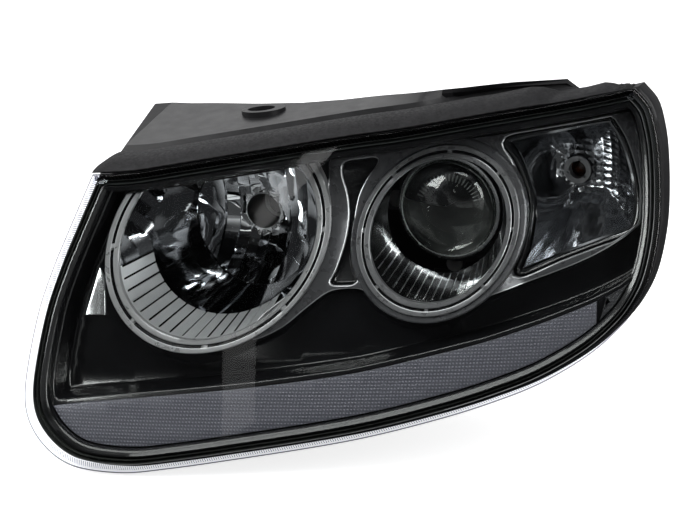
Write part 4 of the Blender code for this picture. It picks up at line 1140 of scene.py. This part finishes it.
def build_high_reflector():
    """Chromed bowl: smooth outer band, a ridge, then upright facets round the bulb's hole."""
    columns = 240
    middle_x, middle_z = HIGH_X + RIDGE[0], HIGH_Z + RIDGE[1]
    ridge = circle(middle_x, middle_z, RIDGE[2], columns)
    mouth = circle(HIGH_X, HIGH_Z, HIGH_MOUTH_R, columns)
    hole = circle(HIGH_X, HIGH_Z, HIGH_BULB_R, columns)
    collar = circle(HIGH_X, HIGH_Z, HIGH_BULB_R + COLLAR, 120)
    lines = [part for line in strip_lines(HIGH_X, STRIPS, middle_x, middle_z, RIDGE[2])
             for part in outside_collar(line)]
    lines.append(collar + collar[:1])
    flat_points, triangles = sheet([ridge[::-1], hole], 3.2, lines)
    points = lifted(flat_points, high_facets)
    faces = list(triangles)
    rows = [range(columns)[::-1]]
    for loop in bowl_band(ridge, mouth) + bowl_back(columns):
        rows.append(range(len(points), len(points) + columns))
        points += loop
    rows.append(range(columns, 2 * columns))
    for first, second in zip(rows, rows[1:]):
        faces += bridge(first, second)
    bowl = new_piece("high_bowl", points, faces, LOOKS["chrome"], 18.0)
    # the last band, the bulb hole's bore, gets a near-black look: painted shade inside the hole
    bowl.data.materials.append(LOOKS["dark_metal"])
    for polygon in bowl.data.polygons[-columns:]:
        polygon.material_index = 1
    return settle(bowl, "carrier_body", "chrome", "high_beam_reflector")


TURN_WALL = 1.6
TURN_HOLE_R = 8.8


def turn_facet(x, z):
    """Height of the small pillows that the turn signal's bowl is divided into."""
    inboard = x < TURN_X - 14.0
    wide, high = (3.4, 17.0) if inboard else (7.4, 5.2)
    across = (x / wide) % 1.0 * 2 - 1
    upward = (z / high + (0.5 * (int(x / wide) % 2) if inboard else 0.0)) % 1.0 * 2 - 1
    return 0.55 * (1 - across * across) * (1 - upward * upward)


def build_turn_reflector():
    """Bowl behind the turn signal's window, all small pillows, with a hole for the bulb."""
    mouth = inset(closed_curve(TURN_WINDOW, 260), 2.6)
    inner = []
    parts = [0.0, 0.03] + [0.06 + 0.94 * k / 46 for k in range(47)]
    for part in parts:
        sunk = 1 - (1 - part) ** 2.2
        flare = 9.0 * math.sin(math.pi * part)
        loop = []
        for x, z in mouth:
            reach = math.dist((x, z), (TURN_X, TURN_Z))
            along = ((x - TURN_X) / reach, (z - TURN_Z) / reach)
            radius = reach * (1 - part) + TURN_HOLE_R * part + flare * max(-along[0], 0.0)
            y = (lens_depth(x, z) + 28.5) * (1 - sunk) + TURN_SOCKET_Y * sunk
            px, pz = TURN_X + along[0] * radius, TURN_Z + along[1] * radius
            if 0.05 < part < 0.97:
                y -= turn_facet(px, pz)
            loop.append((px, y, pz))
        inner.append(loop)
    outer = []
    for k in (len(inner) - 1, 36, 24, 12, 0):
        loop = []
        for x, y, z in inner[k]:
            out = 1 + TURN_WALL / math.dist((x, z), (TURN_X, TURN_Z))
            loop.append((TURN_X + (x - TURN_X) * out, y + (0.8 if k else 0.2),
                         TURN_Z + (z - TURN_Z) * out))
        outer.append(loop)
    neck = TURN_SOCKET_Y + 18.0
    loops = inner + [[(x, neck, z) for x, y, z in inner[-1]],
                     [(x, neck, z) for x, y, z in outer[0]]] + outer
    bowl = loft("turn_bowl", loops, LOOKS["facet_chrome"], ring=True, crease=14.0)
    return settle(bowl, "housing_body", "chrome", "turn_reflector")


DOME_HEIGHT = 22.0
FLANGE_Y = 160.6                      # where the projector's two halves meet
EAR_REACH, EAR_R = 45.0, 6.0
TICKS = 21
TICK_FROM, TICK_SWEEP = 20.0, 140.0   # degrees
TICK_HALF = 0.28
TICK_REACH = (17.0, 21.0)


def build_projector():
    """Smooth projector lens, its ring and its barrel."""
    turns = [k * math.pi / 56 for k in range(29)]
    dome = [(LOW_LENS_R * math.sin(turn), -1.4 - DOME_HEIGHT * math.cos(turn)) for turn in turns]
    dome += [(36.0, -1.3), (36.2, -1.1), (36.2, -0.2), (36.0, 0.0)]
    ring = [(35.4, -2.4), (35.6, -3.0), (36.0, -3.4), (37.6, -3.4), (38.2, -3.1), (38.4, -2.5),
            (38.4, -1.9), (35.4, -1.9)]
    nose = [(35.2, 0.9), (33.4, 0.9), (33.4, 0.3), (36.8, 0.3), (36.8, -1.6), (38.4, -1.6)]
    flange = [(38.4, -5.8), (41.6, -5.8), (42.0, -5.4), (42.0, -3.8), (41.6, -3.4), (36.0, -3.4)]
    barrel = at_depths(LOW_LENS_Y, nose) + at_depths(FLANGE_Y, flange)
    stack("dome", LOW_X, LOW_Z, at_depths(LOW_LENS_Y, dome), 128, LOOKS["lens_glass"],
          "carrier_body", "clear_glass", "projector_lens", ring=False)
    stack("dome_ring", LOW_X, LOW_Z, at_depths(LOW_LENS_Y, ring), 160, LOOKS["satin_silver"],
          "carrier_body", "satin_metal", "projector_lens_ring")
    stack("barrel", LOW_X, LOW_Z, barrel, 128, LOOKS["dark_metal"], "carrier_body",
          "dark_metal", "projector_barrel")
    build_ellipsoid()
    build_ticks()


def build_ellipsoid():
    """Cast projector housing: an ellipsoid with a mirror inside, a flange and three ears."""
    columns = 96
    depths = [(38.5, 1.0), (38.3, 6.0), (37.0, 14.0), (34.8, 23.0), (31.5, 32.0), (26.5, 40.5),
              (20.0, 47.0), (15.0, 50.6), (13.5, 52.0), (13.5, 63.4)]
    profile = [(42.0, -3.0), (42.0, 0.0), (38.6, 0.0)] + depths
    profile += [(radius - 1.8, back) for radius, back in depths[::-1]] + [(36.7, -3.0)]
    shell = turned("ellipsoid", LOW_X, LOW_Z, at_depths(FLANGE_Y, profile), columns,
                   LOOKS["cast_shell"])
    shell.data.materials.append(LOOKS["dark_chrome"])
    paint(shell, columns, range(len(depths) + 3, 2 * len(depths) + 3), 1)
    ears = [rod(LOW_X + EAR_REACH * math.cos(angle), LOW_Z + EAR_REACH * math.sin(angle), EAR_R,
                FLANGE_Y - 2.8, FLANGE_Y - 0.2) for angle in (0.0, math.pi, -math.pi / 2)]
    boolean(shell, ears, "UNION")
    settle(shell, "carrier_body", "metal_shell", "projector_reflector")


def build_ticks():
    """Fine radial ribs behind the projector's lens."""
    points, faces = [], []
    for index in range(TICKS):
        angle = math.radians(TICK_FROM + TICK_SWEEP * index / (TICKS - 1))
        along = Vector((math.cos(angle), math.sin(angle)))
        side = Vector((-along.y, along.x)) * TICK_HALF
        start = len(points)
        for y in (LOW_LENS_Y + 0.15, LOW_LENS_Y + 0.75):
            for end, turn in ((0, -1), (1, -1), (1, 1), (0, 1)):
                spot = along * TICK_REACH[end] + side * turn
                points.append((LOW_X + spot.x, y, LOW_Z + spot.y))
        faces += [tuple(start + k for k in face) for face in
                  ((0, 1, 2, 3), (7, 6, 5, 4), (0, 4, 5, 1), (1, 5, 6, 2), (2, 6, 7, 3),
                   (3, 7, 4, 0))]
    ticks = new_piece("lens_ticks", points, faces, LOOKS["satin_grey"])
    settle(ticks, "carrier_body", "dark_metal")


# ---- housing ------------------------------------------------------------------------------

PIVOT = (-22.0, 170.0, 35.0)
SIDE_BALL_X = -148.0
LOWER_BALL_Z = -70.0
BACK_Y = 216.0
BACK_SLOPE = 0.22
BACK_SCALE = 0.86
WALL = 2.5
SHELL_MIN_DEPTH = 44.0
PLATE_RISE = 13.0
PLATE_END_X = 132.0
PLATE_FADE = 10.0
PLATE_LIFT = [(-230, 15), (-170, 14.6), (-150, 13.5), (-130, 11), (-108, 8.3), (-72, 5.3),
              (-40, 4.4), (40, 5.6), (80, 2.9), (120, -2.0), (150, -3.4), (230, -3.4)]
SHOULDER_START = -186.0
SHOULDER_RUN = 9.0
SHOULDER_FALL_X = 84.0                # the plate's front edge sinks from here outboard
SHOULDER_FALL = 300.0
NECKS = ((HIGH_X, HIGH_Z, 38.0, 35.0, 216.0), (LOW_X, LOW_Z, 38.0, 35.0, 250.0),
         (TURN_X, TURN_Z, 22.0, 19.2, 257.0))
PAD_LEAN = -0.11
UPPER_PAD = (-96.0, 141.0, 87.2)
PAD_R, PAD_HEIGHT, PAD_HOLE_R = 16.0, 5.5, 10.0
PAD_CUT = 10.0                        # how far the pad's hole is cut above and below its face
LUGS = [(-110.0, 118.0, -131.0), (108.0, 222.0, -91.0)]
LUG_R, LUG_HOLE_R = 10.0, 5.2
PIVOT_ARM_Z, PIVOT_HOLE_R = 7.2, 2.3
BUSH_BOSS_R, BUSH_HOLE_R = 10.5, 7.0
BREATHER_R, BREATHER_HOLE_R = 4.0, 2.4
CONNECTOR = (28.0, -52.0)
CONNECTOR_HALF = (17.4, 9.4)
BREATHERS = [(-150.0, -45.0), (150.0, 2.0)]


def back_wall(x, z):
    return BACK_Y + BACK_SLOPE * x


def housing_loops(outline, thin):
    """The shell's outside, or its inside when thin is the wall's thickness."""
    top = []
    for index, (x, z) in enumerate(outline):
        along = Vector(outline[(index + 1) % len(outline)]) - Vector(outline[index - 1])
        upward = along.normalized().x
        top.append(min(max((upward - 0.55) / 0.3, 0.0), 1.0)
                   * min(max((PLATE_END_X - x) / PLATE_FADE, 0.0), 1.0))
    ends = [t * min(max((x - SHOULDER_START) / SHOULDER_RUN, 0.0), 1.0)
            * min(1.0 - (x - SHOULDER_FALL_X) / SHOULDER_FALL, 1.0)
            for t, (x, z) in zip(top, outline)]
    shoulder = inset(outline, [6.0 * (1 - t) - PLATE_RISE * t + thin for t in ends])
    middle = inset(outline, [14.0 * (1 - t) - PLATE_RISE * t + thin for t in top])
    back = scaled(inset(outline, thin), BACK_SCALE)
    body = []
    for (x, z), t in zip(middle, top):
        front = lens_depth(x, z - PLATE_RISE * t)
        low = front + max(0.62 * (back_wall(x, z) - front), SHELL_MIN_DEPTH)
        high = max(160.0, front + 38.0)
        body.append((x, low * (1 - t) + high * t - thin, z + t * between(PLATE_LIFT, x)))
    wall = [(x, back_wall(x, z) - thin, z) for x, z in back]
    rim = [tuple(Vector(a).lerp(Vector(b), 0.03)) for a, b in zip(wall, body)]
    flat_back = [(x, back_wall(x, z) - thin, z) for x, z in scaled(back, 0.985)]
    return [lifted(shoulder, behind_lens(33.0 + thin)), body, rim, flat_back]


def upright(x, y, radius, low, high, lean=0.0, count=64):
    """A round post along Z. lean is how far its axis moves in X for each step in Z."""
    loops = [[(x + lean * (z - low) + radius * math.cos(2 * math.pi * k / count),
               y + radius * math.sin(2 * math.pi * k / count),
               z - lean * radius * math.cos(2 * math.pi * k / count))
              for k in range(count)] for z in (low, high)]
    return loft("post", loops, None)


def housing_shell():
    """The plain shell, with a channel at the front for the cover's leg."""
    outline = lens_outline(44, 150)
    outside = set_back(outline, [(1.2, 14), (0.8, 14.5), (0.8, 31)])
    inside = set_back(outline, [(2.8, 14), (3.2, 14.5), (3.2, 28), (7.0, 28)])
    loops = (outside + housing_loops(outline, 0.0))[::-1] + inside + housing_loops(outline, WALL)
    return loft("shell", loops, LOOKS["shell_black"])


def housing_tools():
    """What is added to the shell and what is cut from it, as two lists of solids."""
    added, holes = [], []

    def boss(x, z, radius, hole_r, span, hole_span, columns=64):
        added.append(rod(x, z, radius, *span, columns))
        holes.append(rod(x, z, hole_r, *hole_span, columns))

    for x, z, outer, inner, back in NECKS:
        front = back_wall(x - outer, z) - 1.2
        boss(x, z, outer, inner, (front, back), (front - 10.0, back + 5.0), 96)
    px, py, pz = PIVOT
    for side in (-1, 1):
        level = pz + side * PIVOT_ARM_Z
        added.append(block((px - 4, px + 4), (py - 3.6, back_wall(px, pz) - 0.5),
                           (level - 2, level + 2)))
        holes.append(upright(px, py, PIVOT_HOLE_R, level - 4, level + 4))
    for x, z in ((SIDE_BALL_X, pz), (px, LOWER_BALL_Z)):
        wall = back_wall(x, z)
        boss(x, z, BUSH_BOSS_R, BUSH_HOLE_R, (wall - 5.0, wall + 4.0), (wall - 12.0, wall + 6.0))
    x, y, z = UPPER_PAD
    added.append(upright(x, y, PAD_R, z - PAD_HEIGHT, z, PAD_LEAN))
    holes.append(upright(x + PAD_LEAN * PAD_CUT, y, PAD_HOLE_R, z - PAD_CUT, z + PAD_CUT,
                         PAD_LEAN))
    for x, y, z in LUGS:
        added.append(block((x - LUG_R + 1, x + LUG_R - 1), (y + 1.5, y + 5), (z, z + 22)))
        boss(x, z, LUG_R, LUG_HOLE_R, (y, y + 4.8), (y - 5, y + 10))
    x, z = CONNECTOR
    wide, high = CONNECTOR_HALF
    holes.append(block((x - wide, x + wide), (200, 240), (z - high, z + high)))
    for x, z in BREATHERS:
        wall = back_wall(x, z)
        boss(x, z, BREATHER_R, BREATHER_HOLE_R, (wall - 2.0, wall + 9.0),
             (wall - 8.0, wall + 12.0))
    return added, holes


def build_housing():
    """Black shell with its necks, bosses, lugs and pad, and their holes."""
    housing = housing_shell()
    added, holes = housing_tools()
    for tool in added:
        boolean(housing, [tool], "UNION")
    boolean(housing, holes, "DIFFERENCE")
    housing.data.shade_smooth()
    housing.data.set_sharp_from_angle(angle=math.radians(28.0))
    return settle(housing, "housing_body", "housing_black", "housing")


# Foam strip: its height and depth along the edge, as shares of the full section.
STRIP_HEIGHT = [(-230, 1.0), (30, 1.0), (58, 1.04), (72, 0.98), (96, 1.06), (104, 0.9),
                (115, 0.42), (132, 0.38), (143, 0.46), (149, 0.36), (154, 0.2), (167, 0.12)]
STRIP_DEPTH = [(-230, 1.0), (143, 1.0), (154, 0.7), (167, 0.3)]
TORN_FROM = 152.0


def build_weatherstrip():
    """Foam seal along the top edge, with soft humps and a rough outboard end."""
    random.seed(7)
    section = closed_curve([(0.5, 0.3), (1.4, 2.9), (7.0, 6.6), (15.0, 9.2), (25.0, 10.4),
                            (28.6, 9.0), (28.8, 0.8), (14.0, 0.2)], 44)
    loops = []
    for x, z in smooth_run(TOP_EDGE, 320)[:-1]:
        high, deep = between(STRIP_HEIGHT, x), between(STRIP_DEPTH, x)
        torn = min(max((x - TORN_FROM) / 3.0, 0.0), 1.0)
        start = min((x - TOP_EDGE[0][0]) / 12.0, 1.0)
        high *= 0.45 + 0.55 * math.sin(start * math.pi / 2)
        loop = []
        for back, rise in section:
            crest = min(max((rise - 2.0) / 6.0, 0.0), 1.0)
            ragged = torn * crest * random.uniform(-0.5, 0.7)
            loop.append((x, lens_depth(x, z) + back * deep, z + 0.9 + rise * high + ragged))
        loops.append(loop)
    strip = loft("weatherstrip", loops, LOOKS["foam"], crease=50.0)
    return settle(strip, "housing_body", "foam", "top_weatherstrip")


# Pieces of the frame that keep their own shape, by the look each of them gets.
CARRIED = {
    "rubber": ("lens_seal", "high_cap_seal", "low_cap_seal", "horizontal_bush", "vertical_bush",
               "breather_cap_1", "breather_cap_2"),
    "cap_black": ("carrier", "high_beam_cap", "low_beam_cap", "turn_bulb_holder",
                  "main_connector"),
    "steel": ("fixing_sleeve_1", "fixing_sleeve_2", "high_bulb_seat", "low_bulb_seat",
              *(name for name in NODES if "screw" in name)),
    "white_plastic": ("aim_pivot", "horizontal_knob", "vertical_knob"),
    "socket_grey": ("turn_socket_ring",),
    "dark_metal": ("cutoff_shield",),
    "amber": ("turn_bulb",),
}


def build_rest():
    for look, names in CARRIED.items():
        for name in names:
            bpy.data.objects[name].material_slots[0].material = LOOKS[look]


# ---- studio -------------------------------------------------------------------------------

WHITE = (1.0, 1.0, 1.0)
DARK_ROOM = (0.02, 0.02, 0.021)
DIM_ROOM = (0.05, 0.05, 0.052)
LIGHT_ROOM = (0.55, 0.55, 0.56)
PATCH_SCALE = 2.4                     # of the room's light patches
PATCH_EDGE = (0.42, 0.5)              # noise levels between which a patch fades in
MIRRORED_WAY = (0.28, -0.77, 0.57)    # middle of what the cover mirrors to the camera
MIRRORED_EDGE = (0.82, 0.93)          # cosines between which that part of the room goes dark
FLOOR_DROP = 0.0005                   # metres below the lamp's box
FLOOR_REACH = 6.0
FLOOR_DARK, FLOOR_LIGHT = (0.82, 0.82, 0.82), (0.86, 0.86, 0.86)
FLOOR_GLOW = (0.8, 0.8, 0.8)          # makes the table pure white to the camera
FLOOR_BOUNCE = (0.1, 0.1, 0.1)        # what it sends up to the lamp's dull surfaces
FLOOR_MIRRORED = (0.06, 0.06, 0.062)
CARD_DISTANCE = 1.1

# Name, direction (azimuth, elevation), distance and size in metres, and power.
LAMPS = [("key", (-42.0, 42.0), 1.6, (0.8, 0.8), 24.0),
         ("top", (10.0, 84.0), 1.4, (1.2, 0.5), 9.0),
         ("side", (80.0, 30.0), 1.6, (0.4, 0.9), 10.0),
         ("left_wall", (-85.0, 12.0), 1.6, (0.9, 0.9), 1.6),
         ("right_wall", (75.0, 8.0), 1.8, (0.9, 0.8), 1.6),
         ("rear", (-140.0, 40.0), 1.6, (1.0, 1.0), 5.0)]

# Name, where on the cover the strip's reflection starts and stops, its width and its glow.
CARDS = [("window", (-22.0, 84.0), (-66.0, 24.0), 17.0, 3.0),
         ("curtain", (-66.6, -40.0), (-55.6, -107.0), 22.0, 1.1)]


def way_to(azimuth, elevation):
    """Unit vector to a direction in degrees, with the azimuth counted from the front."""
    turn, rise = math.radians(azimuth), math.radians(elevation)
    return Vector((math.sin(turn) * math.cos(rise), -math.cos(turn) * math.cos(rise),
                   math.sin(rise)))


def aim(thing, spot, target):
    thing.location = spot
    thing.rotation_euler = (Vector(target) - Vector(spot)).to_track_quat("-Z", "Y").to_euler()


def camera_spot():
    back = way_to(CAMERA_AZIMUTH, CAMERA_ELEVATION)
    return place(CAMERA_TARGET) + back * CAMERA_DISTANCE * MM


def build_camera():
    data = bpy.data.cameras.new("camera")
    data.sensor_width = SENSOR
    data.lens = SENSOR * CAMERA_DISTANCE / VIEW_WIDTH
    data.clip_start = 0.05
    data.clip_end = 50.0
    camera = bpy.data.objects.new("camera", data)
    bpy.context.scene.collection.objects.link(camera)
    aim(camera, camera_spot(), place(CAMERA_TARGET))
    bpy.context.scene.camera = camera


def build_world():
    """White to the camera, and a dim room with light patches for all that the lamp mirrors."""
    world = bpy.data.worlds.new("studio")
    world.use_nodes = True
    nodes = Nodes(world.node_tree, "Generated")
    toward = nodes.node("VectorMath", operation="DOT_PRODUCT")
    toward.inputs[1].default_value = Vector(MIRRORED_WAY).normalized()
    nodes.link(nodes.where, toward.inputs[0])
    in_cover = nodes.spread(toward.outputs["Value"], 0.0, 1.0, *MIRRORED_EDGE)
    patches = nodes.spread(nodes.speckle(PATCH_SCALE, 1.0, nodes.where), 0.0, 1.0, *PATCH_EDGE)
    room = nodes.mix(in_cover, nodes.mix(patches, DIM_ROOM, LIGHT_ROOM), DARK_ROOM)
    seen = nodes.node("LightPath").outputs["Is Camera Ray"]
    nodes.link(nodes.mix(seen, room, WHITE), nodes.tree.nodes["Background"].inputs["Color"])
    bpy.context.scene.world = world


def floor_look():
    """Overexposed white table: pure white to the eye, dark to whatever mirrors it."""
    look = Look("floor_white")
    look.colour(look.spread(look.noise(400.0)), FLOOR_DARK, FLOOR_LIGHT)
    look.set(Roughness=0.8)
    path = look.node("LightPath")
    glow = look.node("Emission")
    look.link(look.mix(path.outputs["Is Diffuse Ray"], FLOOR_GLOW, FLOOR_BOUNCE),
              glow.inputs["Color"])
    both = look.node("AddShader")
    look.link(look.shader.outputs[0], both.inputs[0])
    look.link(glow.outputs[0], both.inputs[1])
    dim = look.node("Emission")
    dim.inputs["Color"].default_value = (*FLOOR_MIRRORED, 1.0)
    look.show(path.outputs["Is Glossy Ray"], both, dim)
    return look.material


def build_floor():
    mesh = bpy.data.meshes.new("floor")
    low = CAD_BOX[0][2] - FLOOR_DROP
    corners = ((-1, -1), (1, -1), (1, 1), (-1, 1))
    mesh.from_pydata([(x * FLOOR_REACH, y * FLOOR_REACH, low) for x, y in corners], [],
                     [(0, 1, 2, 3)])
    mesh.materials.append(floor_look())
    floor = bpy.data.objects.new("floor", mesh)
    bpy.context.scene.collection.objects.link(floor)


def area_light(name, size, power):
    """A rectangular light, size (width, height) in metres."""
    data = bpy.data.lights.new(name, "AREA")
    data.shape = "RECTANGLE"
    data.size, data.size_y = size
    data.energy = power
    light = bpy.data.objects.new(name, data)
    bpy.context.scene.collection.objects.link(light)
    return light


def mirrored(x, z):
    """The spot that the camera sees mirrored in the cover at (x, z), and the way to it."""
    slope_x = (lens_depth(x + 1, z) - lens_depth(x - 1, z)) / 2
    slope_z = (lens_depth(x, z + 1) - lens_depth(x, z - 1)) / 2
    normal = Vector((slope_x, -1.0, slope_z)).normalized()
    spot = place((x, lens_depth(x, z), z))
    sight = (spot - camera_spot()).normalized()
    way = sight - 2 * sight.dot(normal) * normal
    return spot + way * CARD_DISTANCE, way


def reflection_card(name, start, stop, width, glow):
    """A light strip placed so that the cover mirrors it from start to stop."""
    first, way = mirrored(*start)
    last = mirrored(*stop)[0]
    across = mirrored(start[0] + width, start[1])[0]
    up = (last - first).normalized()
    side = up.cross(way).normalized()
    size = ((across - first).cross(up).length, (last - first).length)
    light = area_light(name, size, glow * math.pi * size[0] * size[1])
    light.matrix_world = Matrix((side, up, side.cross(up))).transposed().to_4x4()
    light.location = (first + last) / 2


def build_studio():
    build_world()
    build_floor()
    build_camera()
    for name, direction, distance, size, power in LAMPS:
        aim(area_light(name, size, power), way_to(*direction) * distance, (0.0, 0.0, 0.0))
    for card in CARDS:
        reflection_card(*card)
    view = bpy.context.scene.view_settings
    view.view_transform = "Standard"
    view.look = "None"


build_cover()
build_bezel()
build_spectacles()
build_window_frame()
build_strip()
build_liners()
build_high_reflector()
build_turn_reflector()
build_projector()
build_housing()
build_weatherstrip()
build_rest()
build_studio()
